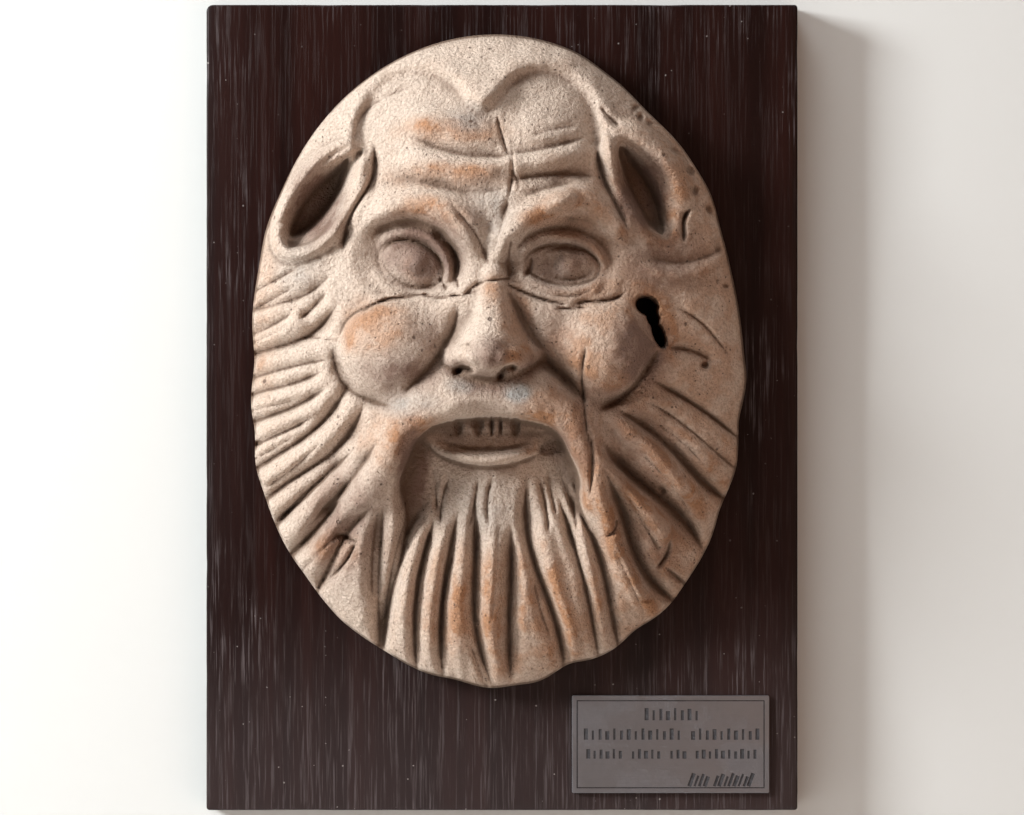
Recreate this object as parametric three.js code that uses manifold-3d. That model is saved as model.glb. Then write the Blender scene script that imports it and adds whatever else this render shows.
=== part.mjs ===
// A wall plaque: the fired clay mask of a bearded, horse-eared wood spirit on a dark wooden board,
// with a small engraved metal plate below it on the right.
// Millimetres. X to the right, Z up, the front faces -Y, the wall is the plane y = 0,
// and the origin is the middle of the board's back face.
import * as THREE from 'three';
import { mergeVertices } from 'three/addons/utils/BufferGeometryUtils.js';
import Module from 'manifold-3d';

const wasm = await Module();
wasm.setup();

const GAP = 0.3;                      // between pieces that touch
const BOARD = { width: 240, height: 327, thickness: 18, corner: 1.2, wornCorner: 2.6, easing: 0.8 };
const PLATE = {
  width: 80, height: 39.5, thickness: 1.5, corner: 0.6,
  right: 68.4, up: -136.6,            // its middle on the board
  borderInset: 2.1, lineWidth: 0.45, lineDepth: 0.3,
};
const MASK = {
  right: -1.6, up: 18.9,              // its middle on the board
  halfWidth: 99.7, halfHeight: 131.2,
  rim: 9,                             // height of the clay at its outer edge
  rise: 25,                           // how far the plain dome stands above the rim
  roundness: 58,                      // how steeply the front may climb from the rim
};
const HOLLOW = { margin: 20, depth: 15, thinnestWall: 4, segments: 40, rings: 20 };
const FRONT_GRID = 128;               // finest division of the front, a power of two
const FRONT_TOLERANCE = 0.88;         // mm that the facets may stray from the clay
const SOFTENING = 2;                  // times the clay is wiped over

// Swells and dents of the hand-made outline: [clock angle in degrees, mm outwards, spread in degrees]
const OUTLINE = [
  [22, -2, 22], [60, -3, 9], [128, 2.4, 26], [180, -2, 7], [218, 3.2, 24], [284, -2, 9], [316, 2.2, 18],
  [38, 1.1, 5], [70, -0.8, 4], [150, 0.9, 6], [196, -0.9, 4], [204, 0.8, 4], [228, -0.5, 4], [239, 0.5, 4],
  [249, -0.5, 4], [262, -0.9, 3], [269, 0.7, 3], [277, 0.8, 3], [283, -1.5, 3], [290, 0.8, 4], [297, -1.1, 3],
  [305, 0.8, 4], [326, -1.1, 4], [336, 0.9, 4], [346, -1.1, 4], [356, 0.8, 4],
];

// Every stroke of the clay, in mm to the right of and above the mask's middle:
// [from right, from up, to right, to up, bow, sway, half width, rise]
// Bow is how far the stroke swings to its left half way along, sway how far it snakes,
// and a negative rise is a cut, a positive one a roll of clay.
const FOREHEAD_LINES = [
  [-39, 96, 4, 89, 0.5, 1, 8, 2.8],
  [-37, 91, 7, 82, -4, 0, 6.2, -3.2],
  [1, 82, 35, 89.5, -1.2, 0, 5, -2.6],
  [-42, 80, 6, 78, -2, 0.6, 7.5, 3],
  [-2, 78, 42, 86, -1.8, 0.5, 6.2, 3],
  [-33, 71.5, 6, 69.5, -3, 0.5, 6, -2.2],
  [3, 71, 42, 73.5, 2, 0, 5, -2.6],
  [12, 89, 33, 94.5, 0.6, 0, 2.6, -1.2],
  [10, 65, 32, 71.5, 1, 0, 3, -1.6],
  [-55, 74.5, -29, 113, 13, 1.5, 3.6, -1.8],
];
const BROW_ROLLS = [
  [-1, 36.5, 33.5, 66, 6, 0.5, 10, 7],
  [20.5, 64.5, 53, 46, 13, 1, 9, 7],
  [-19.5, 62, -3, 36, 2.5, 0, 3, -2.6],
  [4.5, 65.5, -2, 41, 0, 0, 3.4, -2],
  [6, 50, 4.5, 31, -1, 0, 7, -5],
];
// Strokes round an ellipse: [right, up, half width, half height, turn, first and last clock angle,
// half width of the stroke, rise]
const EYE_ARCS = [
  [-34, 40.5, 24, 22.5, 0, -4, 150, 10.5, 7.5],
  [-34.5, 40.5, 18.2, 14.8, -20, -20, 180, 7, -6],
  [-34, 38.8, 15, 11.4, -25, -25, 190, 3.4, 3],
  [-34, 38.3, 16, 12, -22, 205, 330, 5, 1.4],
  [-34, 38.5, 13, 8.7, -25, -20, 205, 2.6, -3],
  [26, 38.5, 19.5, 14.4, -4, -10, 190, 6.5, -4.6],
  [26, 38.6, 16, 10.9, -5, -20, 200, 3.4, 2.6],
  [26, 37.4, 17, 10.4, -4, 195, 345, 4.2, 2],
];
const EYE_CUTS = [
  [-27, 54, -17.5, 29, 5, 0, 6, -5],
  [3, 42, 46, 52, 9.5, 0, 8, -4],
];
const FACE_CREASES = [
  [-66.5, 7, -41.5, -19, -8, -0.5, 6, -5],
  [-14, 26, -42, -16, 3, 1, 8, -6.5],
  [2, 31.5, 36, -18, -2, -1, 9.5, -9.5],
  [39, -20, 65, 6, -3.5, -0.5, 6, -6],
];
const MOUSTACHE = [
  [-61, -64.5, 3, -14, 14, -5, 14, 7],
  [-15.5, -14, 47, -70, 22, 3.5, 14, 7],
  [-36, -28, 30, -28, 11, 0, 6.5, 2.5],
];
const LIP_AND_CHIN = [
  [-33, -29, 26, -28, -9.5, 0, 6.2, 6.5],
  [-31.5, -25, -38, -73, 2.5, -1, 9.5, -8],
  [-33, -32, -37.5, -62, 1.5, -0.5, 4.8, -4],
  [-36, -60, -46, -112, -2, 0, 6.5, -5],
  [15, -36, 26, -31, 0, 0, 5, -3],
];
const EAR_RIMS = [
  [-70, 65, 26.5, 12.8, 53, 5, 355, 5, 5.5],
  [59, 69, 24, 12, -65, 150, 350, 6, 2.6],
];
const EARS = [
  [-50, 88.5, -62, 43, 1.5, 2.4, 4.4, -7],
  [-53.5, 86.5, -73.5, 43.5, 3.5, 0, 4, 2],
  [42, 93.5, 59.5, 50, -1, -1, 4.8, 5],
  [39.5, 85, 53, 50, -1.5, -0.5, 3.6, -6],
  [42, 95, 79, 58, 9, 1, 7.5, 5],
  [40.5, 103, 50, 93, -0.5, 0, 2.6, -2.6],
  [55, 97.5, 82, 71, 4, 0, 2.6, -1.8],
  [57, 43, 93, 47, -5.5, 0, 6.5, -2.2],
  [56, 37.5, 93, 43, -6, 0, 5, 1.8],
];
const LEFT_LOCKS = [
  [-66, 36, -103.2, 18.7, 3.5, 1, 6, -2.6],
  [-68.5, 28.5, -80.5, 16, 1, 0, 5.5, -2.8],
  [-81, 20.5, -106.1, 8.7, 1.5, 0, 5.5, -2.6],
  [-63, 25, -107, 0, 6, 1.5, 8, -4.2],
  [-65, 1, -108, -10, -1, 0, 5.5, -2.8],
  [-68, -2.5, -108.5, -18, 0.5, 1, 6, -3.2],
  [-67, -9.5, -108, -28, 2, 0.5, 6.5, -3.6],
  [-73, -21.5, -105.5, -39, 0, 0.5, 5.5, -3],
  [-58.5, -7, -104.5, -48, 5, 1, 8, -4.8],
  [-52, -14, -99, -61, 5, 2, 8.2, -5],
  [-57, -35, -93.5, -72, -1.5, 0.5, 7, -4.8],
  [-47.5, -31, -75, -64, 2, 0, 7, -3.6],
  [-62, -54, -88.5, -83, 1, 0, 7, -4.4],
  [-48, -57, -76, -98, -3, -1, 7.5, -4.2],
  [-46, -55, -45.4, -122.5, -2.5, 0.5, 8.5, -4.6],
];
const RIGHT_LOCKS = [
  [57, -15, 99, -46, 1.5, 0.5, 6.5, -3],
  [46, -19, 98, -60, 1, 1.5, 9, -5.6],
  [43, -30, 88, -81, 0.5, -1, 9.5, -6.4],
  [40, -39, 79, -103, -6, 2, 9.5, -6.2],
  [60, -7, 100, -33.5, 1.5, 0, 4, -2.6],
  [66.5, 5, 88, -2, 2.5, 0, 5.1, -2.2],
  [66, -82, 86.8, -99.9, 0, 0, 3, -2],
  [53, -19, 93, -51, 1.5, 1, 5, 1.4],
  [46, -26, 86, -66, 2.5, 0.5, 6.5, 2.2],
  [44, -38, 76, -87, -1, -1, 6, 2.2],
  [38, -46, 66, -106, -2.5, 1.5, 6, 2],
];
const CHIN_LOCKS = [
  [-47.5, -58, -50.5, -99, -1.5, 0, 7.5, -3.4],
  [-34.5, -57, -48.2, -126.8, -1, 1, 7.5, -4.6],
  [-24, -59, -32.5, -131, -4.5, 0, 6.8, -4.8],
  [-15.2, -57, -22, -133, -3.5, 0.3, 6.4, -4.4],
  [-9.6, -53, -1, -135, -4.2, 1.5, 7, -5.8],
  [5, -64, 5.5, -132, -0.5, 0.5, 8, -6.6],
  [12, -44, 27.5, -132, -2.7, -2.6, 7.8, -5.8],
  [14, -86, 22, -114, -1, 0, 4, -2.6],
  [22.5, -50, 41.5, -126, 2.3, 0, 6, -4.4],
  [27, -51, 50.5, -123, 4, 1, 7.2, -5.2],
  [-29, -63, -37.5, -125, -3, 0, 5, 1.6],
  [-19, -64, -27, -128, -3.5, 0, 4.6, 1.6],
  [-12, -64, -14, -131, -3, 0.5, 5, 1.6],
  [-1.5, -62, 2, -128, -3, 1, 5, 1.8],
  [18, -60, 33.6, -128.6, -1, -1, 5, 1.8],
];
const FIRMNESS = { left: 1.5, right: 1.9, chin: 1.6 };   // times the depth of the locks' strokes
const STROKE_ENDS = 0.26;             // share of a stroke over which it fades in and out
const STROKE_STEPS = 14;
// Soft swellings and hollows: [[right, up], [half width, half height], turn, power, rise]
const SKULL_SWELLINGS = [
  [[-0.4, 20.7], [76, 84], 0, 1.6, 8],
  [[-2.4, 77.5], [56, 52], 0, 1.6, 8],
  [[-27.6, 89.7], [24, 19], 8, 1.5, 3.5],
  [[21, 92.2], [19, 18], -10, 1.5, 3.5],
  [[-5, 105], [15, 12], 0, 1.5, 4],
];
const EYE_HOLLOWS = [[[-34.5, 39.4], [25, 20], -15, 1.2, -10], [[26.4, 39.5], [26, 19], 5, 1.2, -8.5]];
const IRISES = [[[-32.6, 39.2], [6.2, 6], 0, 1.4, 1.9], [[27.8, 38.2], [6.2, 5.6], 0, 1.4, 1.9]];
const TIP_AND_WINGS = [
  [[-3, 3], [15, 13], 0, 1.6, 5.2],
  [[-12.8, -1], [10.5, 8.5], 22, 1.6, 4.4],
  [[8.4, -1], [10.5, 8.5], -22, 1.6, 4.4],
];
const NOSTRILS = [[[-13.4, -4.2], [4.2, 2.5], 22, 0.7, -8], [[3.8, -4], [4.6, 3], 18, 0.7, -9]];
const MOUSTACHE_LOBE = [[-51.2, -42.6], [11, 24], -25, 1.5, 3];
const LUMP = [[-68.2, -77.5], [10, 9], 30, 1.5, 3.4];
// Balls of clay: [[right, up], [half width, half height, depth], height of the crest, turn]
const EYEBALLS = [[[-34, 38.5], [14.5, 11.5, 11], 36, -25], [[26, 38.4], [16, 11, 9], 35.6, 0]];
const CHEEKS = [[[-41, 5.3], [27, 25, 26], 46.7, 0], [[41.4, 4.5], [26, 26, 25], 45.9, 0]];
// Ovals that the cap of hair lies round: [right, up], [half width, half height]
const LEFT_LOBE = [[-33, 92.2], [23.5, 25.5]];
const RIGHT_LOBE = [[18.8, 93.8], [21.8, 23.8]];
const BALD_FACE = [[-0.4, 56.4], [54, 44]];
const HAIR_THICKNESS = 3.8;
const NOSE = {
  root: { right: -1.8, up: 34, radius: 8, top: 45.5 },
  tip: { right: -2.2, up: 4, radius: 19.5, top: 57.5 },
  sideDrop: 18, underside: 15, blend: 7,
};
const MOUTH = {
  middle: -3, halfWidth: 27.5, widening: 11, depth: 13, ledge: -21.9, ledgeSag: 0.0035,
  toothGaps: [-21, -14, -6, 4, 12], gapDepth: 5.5,
};
const LIP = { low: -40.4, middle: -4, curve: 0.0125, step: 5 };
// The hollows of the ears: [[right, up], half length, half width, turn, taper, depth]
const EAR_DISHES = [
  [[-69.5, 65], 25, 11.5, 53, 0.2, 12],
  [[-72, 66], 20, 8, 53, 0.2, 13],
  [[58.5, 68.5], 21, 11, -65, 0, 10],
  [[56, 69], 19.5, 8, -64, 0, 20],
];
// The ragged holes: [middle, half sizes, turn]
const HOLES = [
  [[59.8, 22], [5.4, 4.2], -25], [[62.2, 17.4], [2.8, 4.6], 15], [[64.6, 10.2], [2.5, 6.4], 22],
];
const HOLE_DEPTH = 34;
const NOWHERE = -1000;                // height of a form beside itself

const radians = THREE.MathUtils.degToRad;
const clamp = (x) => Math.min(1, Math.max(0, x));
const smooth = (low, high, x) => {
  const t = clamp((x - low) / (high - low));
  return t * t * (3 - 2 * t);
};

// The larger of two heights, with the corner between them rounded over `blend` mm.
function blendMax(a, b, blend) {
  const t = clamp(0.5 + (0.5 * (a - b)) / blend);
  return b + (a - b) * t + blend * t * (1 - t);
}

// The rim's distance from the mask's middle in one direction.
function rimRadius(angle) {
  const plain = 1 / Math.hypot(Math.cos(angle) / MASK.halfWidth, Math.sin(angle) / MASK.halfHeight);
  const degrees = (THREE.MathUtils.radToDeg(angle) + 360) % 360;
  return OUTLINE.reduce((radius, [at, out, spread]) => {
    const away = Math.abs(((degrees - at + 540) % 360) - 180);
    return radius + out * Math.exp(-((away / spread) ** 2));
  }, plain);
}

// Distance from the middle of a turned ellipse: 0 there, 1 on its edge.
function reach(u, v, [right, up], [across, tall], turn = 0) {
  const [du, dv] = [u - right, v - up];
  const [c, s] = [Math.cos(radians(turn)), Math.sin(radians(turn))];
  return Math.hypot((du * c + dv * s) / across, (dv * c - du * s) / tall);
}
const mound = (u, v, centre, size, turn, power) =>
  Math.max(0, 1 - reach(u, v, centre, size, turn) ** 2) ** power;
const insideBy = (u, v, centre, size) => (1 - reach(u, v, centre, size)) * Math.min(...size);

// The height of an egg of the given half sizes whose crest stands at `top`.
function egg(u, v, centre, [across, tall, deep], top, turn) {
  const q = 1 - reach(u, v, centre, [across, tall], turn) ** 2;
  return q > 0 ? top - deep + deep * Math.sqrt(q) : NOWHERE;
}

// The height of a ridge with sloping sides that widens and rises from one point to another.
function keel(u, v, from, to, drop) {
  const along = [to.right - from.right, to.up - from.up];
  const share = (u - from.right) * along[0] + (v - from.up) * along[1];
  const t = clamp(share / (along[0] ** 2 + along[1] ** 2));
  const radius = from.radius + (to.radius - from.radius) * t;
  const away = Math.hypot(u - from.right - t * along[0], v - from.up - t * along[1]) / radius;
  return away < 1 ? from.top + (to.top - from.top) * t - drop * away ** 1.8 : NOWHERE;
}

// How deep a long dish is at a point, 1 on its floor and 0 on its edge; taper narrows its far end.
function dish(u, v, [right, up], halfLength, halfWidth, turn, taper) {
  const [du, dv] = [u - right, v - up];
  const [c, s] = [Math.cos(radians(turn)), Math.sin(radians(turn))];
  const along = (du * c + dv * s) / halfLength;
  if (Math.abs(along) >= 1) return 0;
  const width = halfWidth * (1 - along * along) ** 0.6 * (1 - taper * along);
  return smooth(0, 1, 1 - Math.abs(dv * c - du * s) / width) * Math.sqrt(1 - along * along);
}

// How far a stroke lifts a point that is `away` from its path and a share `at` along it.
function pressed(away, at, halfWidth, rise) {
  const strength = smooth(0, STROKE_ENDS, at + 0.02) * smooth(0, STROKE_ENDS, 1.02 - at);
  const q = clamp(away / (halfWidth * (0.45 + 0.55 * strength)));
  return rise * strength * (rise < 0 ? (1 - q) ** 2 : (1 - q * q) ** 2);
}

// Draw one stroke over all the points of the clay.
function draw(clay, [u0, v0, u1, v1, bow, sway, halfWidth, rise]) {
  const length = Math.hypot(u1 - u0, v1 - v0);
  const path = Array.from({ length: STROKE_STEPS + 1 }, (_, i) => {
    const t = i / STROKE_STEPS;
    const aside = bow * Math.sin(Math.PI * t) + sway * Math.sin(2 * Math.PI * t);
    const [right, up] = [((v0 - v1) / length) * aside, ((u1 - u0) / length) * aside];
    return [u0 + (u1 - u0) * t + right, v0 + (v1 - v0) * t + up];
  });
  const edge = (axis, pick, margin) => pick(...path.map((p) => p[axis])) + margin;
  const [left, right] = [edge(0, Math.min, -halfWidth), edge(0, Math.max, halfWidth)];
  const [below, above] = [edge(1, Math.min, -halfWidth), edge(1, Math.max, halfWidth)];
  clay.forEach((point) => {
    if (point.u < left || point.u > right || point.v < below || point.v > above) return;
    let [nearest, at] = [Infinity, 0];
    for (let i = 0; i < STROKE_STEPS; i += 1) {
      const [[pu, pv], [qu, qv]] = [path[i], path[i + 1]];
      const [du, dv] = [qu - pu, qv - pv];
      const t = clamp(((point.u - pu) * du + (point.v - pv) * dv) / (du * du + dv * dv));
      const away = Math.hypot(point.u - pu - t * du, point.v - pv - t * dv);
      if (away < nearest) [nearest, at] = [away, (i + t) / STROKE_STEPS];
    }
    point.h += pressed(nearest, at, halfWidth, rise);
  });
}
const drawAll = (clay, rows, firmness = 1) =>
  rows.forEach(([u0, v0, u1, v1, bow, sway, halfWidth, rise]) =>
    draw(clay, [u0, v0, u1, v1, bow, sway, halfWidth, firmness * rise]));

// Draw strokes round an ellipse over all the points of the clay.
function sweepAll(clay, rows) {
  rows.forEach(([right, up, across, tall, turn, first, last, halfWidth, rise]) => {
    const [c, s] = [Math.cos(radians(turn)), Math.sin(radians(turn))];
    clay.forEach((point) => {
      const [du, dv] = [point.u - right, point.v - up];
      const [x, y] = [(du * c + dv * s) / across, (dv * c - du * s) / tall];
      const away = Math.hypot(du, dv) * Math.abs(1 - 1 / Math.max(1e-3, Math.hypot(x, y)));
      if (away >= halfWidth) return;
      const clock = ((THREE.MathUtils.radToDeg(Math.atan2(y, x)) - first + 740) % 360) - 20;
      point.h += pressed(away, clock / (last - first), halfWidth, rise);
    });
  });
}

// Change the height of every point by a function of its place and its height so far.
const shape = (clay, change) =>
  clay.forEach((point) => { point.h = change(point.u, point.v, point.h, point.out); });

// The height of the clay at a point after the given swellings and hollows.
const swollen = (u, v, h, rows) => rows.reduce((height, [middle, size, turn, power, rise]) =>
  height + rise * mound(u, v, middle, size, turn, power), h);

// Swellings, hollows and balls over all the points of the clay.
const swell = (clay, rows) => shape(clay, (u, v, h) => swollen(u, v, h, rows));
const addEggs = (clay, rows, blend) => shape(clay, (u, v, h) =>
  rows.reduce((height, [middle, size, top, turn]) =>
    blendMax(height, egg(u, v, middle, size, top, turn), blend), h));

// The skull, the bald forehead's two lobes and the cap of hair with its peak between them.
function modelSkull(clay) {
  shape(clay, (u, v, h, out) => {
    const lobes = blendMax(insideBy(u, v, ...LEFT_LOBE), insideBy(u, v, ...RIGHT_LOBE), 1.6);
    const bare = blendMax(lobes, insideBy(u, v, ...BALD_FACE), 9);
    const step = HAIR_THICKNESS * smooth(2.6, -2.8, bare) * Math.sqrt(smooth(1, 0.86, out));
    const lip = 1.2 * Math.exp(-(((bare + 3.4) / 4) ** 2)) - 0.9 * Math.exp(-(((bare - 2) / 2.6) ** 2));
    return MASK.rim + MASK.rise * (1 - out ** 2.7) ** 0.72 + smooth(55, 86, v) * (step + lip);
  });
  swell(clay, SKULL_SWELLINGS);
  drawAll(clay, FOREHEAD_LINES);
}

// The first arc is the left brow; the others are the sockets and the lids, over the eyeballs.
function modelEyes(clay) {
  drawAll(clay, BROW_ROLLS);
  swell(clay, EYE_HOLLOWS);
  sweepAll(clay, EYE_ARCS.slice(0, 1));
  addEggs(clay, EYEBALLS, 1.5);
  swell(clay, IRISES);
  sweepAll(clay, EYE_ARCS.slice(1));
  drawAll(clay, EYE_CUTS);
}

// Two balls of cheeks, and the nose as a ridge with sloping sides, a round tip and soft wings.
function modelCheeksAndNose(clay) {
  addEggs(clay, CHEEKS, 4);
  drawAll(clay, FACE_CREASES);
  shape(clay, (u, v, h) => {
    const nose = swollen(u, v, keel(u, v, NOSE.root, NOSE.tip, NOSE.sideDrop), TIP_AND_WINGS);
    return blendMax(h, nose - NOSE.underside * smooth(-1.5, -12.5, v - 0.008 * (u + 4) ** 2), NOSE.blend);
  });
  swell(clay, NOSTRILS);
}

// The moustache's ledge, the hollow of mouth and chin, the lip and the gaps between the teeth.
function modelMouth(clay) {
  drawAll(clay, MOUSTACHE);
  swell(clay, [MOUSTACHE_LOBE]);
  shape(clay, (u, v, h) => {
    const aside = Math.abs(u - MOUTH.middle);
    const belowLedge = MOUTH.ledge - MOUTH.ledgeSag * aside ** 2.2 - v;
    const halfWidth = MOUTH.halfWidth + MOUTH.widening * smooth(-22, -54, v);
    const inside = -blendMax(aside - halfWidth, -belowLedge, 5);
    const recess = smooth(-1.2, 2.6 + 5 * smooth(-40, -70, v), inside);
    const belowLip = LIP.low + LIP.curve * (u - LIP.middle) ** 2 - v;
    h -= MOUTH.depth * smooth(-108, -38, v) * recess;
    h -= 4.5 * smooth(0, 1.5, inside) * smooth(-33, -29, v);
    h -= LIP.step * smooth(0, 3, belowLip) * smooth(-70, -46, v) * recess;
    const gaps = MOUTH.toothGaps.map((gap) => mound(u, v, [gap, -26], [2.2, 3.6], 0, 0.8));
    return h - MOUTH.gapDepth * Math.max(...gaps) * smooth(0, 1.2, belowLedge);
  });
  drawAll(clay, LIP_AND_CHIN);
}

function modelEars(clay) {
  shape(clay, (u, v, h) =>
    EAR_DISHES.reduce((height, [...row]) => height - row.pop() * dish(u, v, ...row), h));
  sweepAll(clay, EAR_RIMS);
  drawAll(clay, EARS);
}

// No cut comes nearer to the hollow behind the face than the thinnest wall.
function keepAWall(clay) {
  const halfSizes = [MASK.halfWidth - HOLLOW.margin, MASK.halfHeight - HOLLOW.margin];
  shape(clay, (u, v, h) => {
    const q = clamp(reach(u, v, [0, 0], halfSizes));
    return blendMax(h, HOLLOW.thinnestWall + HOLLOW.depth * Math.sqrt(1 - q * q), 1.5);
  });
}

// The ragged holes beside the right cheek, and the lump on a lock at the lower left.
function modelDamage(clay) {
  shape(clay, (u, v, h) =>
    HOLES.reduce((height, [middle, size, turn]) =>
      height - HOLE_DEPTH * smooth(0, 0.7, mound(u, v, middle, size, turn, 1)), h));
  swell(clay, [LUMP]);
}

// The front of the mask as a square grid of points, laid over its oval outline.
function modelClay() {
  const clay = [];
  for (let row = 0; row <= FRONT_GRID; row += 1) {
    for (let column = 0; column <= FRONT_GRID; column += 1) {
      const [x, y] = [(2 * column) / FRONT_GRID - 1, (2 * row) / FRONT_GRID - 1];
      const [across, tall] = [x * Math.sqrt(1 - (y * y) / 2), y * Math.sqrt(1 - (x * x) / 2)];
      const out = Math.min(1, Math.hypot(across, tall));
      const angle = Math.atan2(tall * MASK.halfHeight, across * MASK.halfWidth);
      const radius = rimRadius(angle) * out;
      clay.push({ u: radius * Math.cos(angle), v: radius * Math.sin(angle), out, h: 0 });
    }
  }
  modelSkull(clay);
  modelEyes(clay);
  modelCheeksAndNose(clay);
  modelMouth(clay);
  drawAll(clay, LEFT_LOCKS, FIRMNESS.left);
  drawAll(clay, RIGHT_LOCKS, FIRMNESS.right);
  drawAll(clay, CHIN_LOCKS, FIRMNESS.chin);
  modelEars(clay);
  keepAWall(clay);
  modelDamage(clay);
  shape(clay, (u, v, h, out) => {
    const steepest = MASK.rim + MASK.roundness * Math.sqrt(Math.max(0, 2 * (1 - out) - (1 - out) ** 2));
    return -blendMax(-Math.max(h, 2), -steepest, 1.5);
  });
  for (let pass = 0; pass < SOFTENING; pass += 1) soften(clay);
  return clay;
}

// Wipe the clay over, so that no edge is finer than the facets.
function soften(clay) {
  const side = FRONT_GRID + 1;
  const before = clay.map((point) => point.h);
  clay.forEach((point, i) => {
    const [column, row] = [i % side, Math.floor(i / side)];
    if (column % FRONT_GRID === 0 || row % FRONT_GRID === 0) return;
    const beside = before[i - 1] + before[i + 1] + before[i - side] + before[i + side];
    const across = before[i - side - 1] + before[i - side + 1] + before[i + side - 1] + before[i + side + 1];
    point.h = (4 * before[i] + 2 * beside + across) / 16;
  });
}

// How far the clay strays from a straight line between two grid points, at their middle:
// in height on the front, and sideways too along the outline.
function strayAt(clay, a, middle, b) {
  const [p, m, q] = [clay[a], clay[middle], clay[b]];
  const sideways = m.out === 1 ? Math.hypot((p.u + q.u) / 2 - m.u, (p.v + q.v) / 2 - m.v) : 0;
  return Math.hypot(sideways, (p.h + q.h) / 2 - m.h);
}

// The error that leaving out each grid point would make, counting the finer points that hang on it.
// From fine to coarse, the points in the middle of the grid lines come first,
// and then those in the middle of the squares, whose diagonals meet at their parent square's middle.
function strayOfGrid(clay) {
  const side = FRONT_GRID + 1;
  const stray = new Float64Array(clay.length);
  const at = (column, row) => row * side + column;
  const inside = (column, row) => column >= 0 && row >= 0 && column < side && row < side;
  const gather = (column, row, own, steps) => {
    const finer = steps.filter(([c, r]) => inside(column + c, row + r));
    stray[at(column, row)] = Math.max(own, ...finer.map(([c, r]) => stray[at(column + c, row + r)]));
  };
  for (let s = 1; s < FRONT_GRID; s *= 2) {
    const half = s / 2;
    const corners = s > 1 ? [[half, half], [half, -half], [-half, half], [-half, -half]] : [];
    for (let row = 0; row < side; row += s) {
      for (let column = 0; column < side; column += s) {
        const [oddColumn, oddRow] = [(column / s) % 2, (row / s) % 2];
        if (oddColumn === oddRow) continue;
        const [dc, dr] = oddColumn ? [s, 0] : [0, s];
        const ends = [at(column - dc, row - dr), at(column + dc, row + dr)];
        gather(column, row, strayAt(clay, ends[0], at(column, row), ends[1]), corners);
      }
    }
    for (let row = s; row < side; row += 2 * s) {
      for (let column = s; column < side; column += 2 * s) {
        const sameWay = ((column + s) / (2 * s)) % 2 === ((row + s) / (2 * s)) % 2;
        const rise = sameWay ? s : -s;
        const ends = [at(column - s, row - rise), at(column + s, row + rise)];
        const own = strayAt(clay, ends[0], at(column, row), ends[1]);
        gather(column, row, own, [[s, 0], [-s, 0], [0, s], [0, -s]]);
      }
    }
  }
  return stray;
}

// The front as right-angled triangles, small only where the clay bends.
function frontTriangles(clay) {
  const stray = strayOfGrid(clay);
  const side = FRONT_GRID + 1;
  const triangles = [];
  const index = ([column, row]) => row * side + column;
  const split = (a, b, apex) => {
    const middle = [(a[0] + b[0]) / 2, (a[1] + b[1]) / 2];
    const leg = Math.abs(a[0] - apex[0]) + Math.abs(a[1] - apex[1]);
    if (leg > 1 && stray[index(middle)] > FRONT_TOLERANCE) {
      split(apex, a, middle);
      split(b, apex, middle);
    } else {
      triangles.push([index(a), index(b), index(apex)]);
    }
  };
  const far = FRONT_GRID;
  split([far, far], [0, 0], [far, 0]);
  split([0, 0], [far, far], [0, far]);
  return triangles;
}

// Close the front with a straight side wall and a flat back.
function closedSolid(clay, triangles) {
  const numbers = new Map();
  const points = [];
  const number = (key, u, v, h) => {
    if (!numbers.has(key)) {
      numbers.set(key, points.length / 3);
      points.push(u, v, h);
    }
    return numbers.get(key);
  };
  const top = (i) => number(i, clay[i].u, clay[i].v, clay[i].h);
  const foot = (i) => number(`foot ${i}`, clay[i].u, clay[i].v, 0);
  const faces = [];
  const rim = new Map();
  triangles.forEach(([a, b, c]) => {
    faces.push(top(a), top(b), top(c));
    [[a, b], [b, c], [c, a]].forEach(([from, to]) => {
      if (!rim.delete(`${to} ${from}`)) rim.set(`${from} ${to}`, [from, to]);
    });
  });
  const middle = number('middle', 0, 0, 0);
  rim.forEach(([from, to]) => {
    faces.push(top(to), top(from), foot(from));
    faces.push(top(to), foot(from), foot(to));
    faces.push(middle, foot(to), foot(from));
  });
  return solidOf(points, faces);
}

function solidOf(points, faces) {
  const mesh = new wasm.Mesh({
    numProp: 3,
    vertProperties: new Float32Array(points),
    triVerts: new Uint32Array(faces),
  });
  return new wasm.Manifold(mesh);
}

// The shallow dome of air behind the clay, open at the back: the upper half of a flat ellipsoid.
function hollowSolid() {
  const { margin, depth, segments, rings } = HOLLOW;
  const dome = new THREE.SphereGeometry(1, segments, rings);
  dome.scale(MASK.halfWidth - margin, MASK.halfHeight - margin, depth);
  return closedGeometry(dome);
}

function geometryOf(solid) {
  const { vertProperties, triVerts } = solid.getMesh();
  const geometry = new THREE.BufferGeometry();
  geometry.setAttribute('position', new THREE.BufferAttribute(vertProperties, 3));
  geometry.setIndex(new THREE.BufferAttribute(triVerts, 1));
  geometry.computeVertexNormals();
  return geometry;
}

function makeMask() {
  const clay = modelClay();
  const solid = closedSolid(clay, frontTriangles(clay)).subtract(hollowSolid());
  const terracotta = new THREE.MeshStandardMaterial({ color: 0xb48c6c, roughness: 0.95, metalness: 0 });
  const mask = new THREE.Mesh(geometryOf(solid), terracotta);
  mask.name = 'mask';
  mask.position.set(MASK.right, MASK.up, BOARD.thickness + GAP);
  return mask;
}

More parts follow.
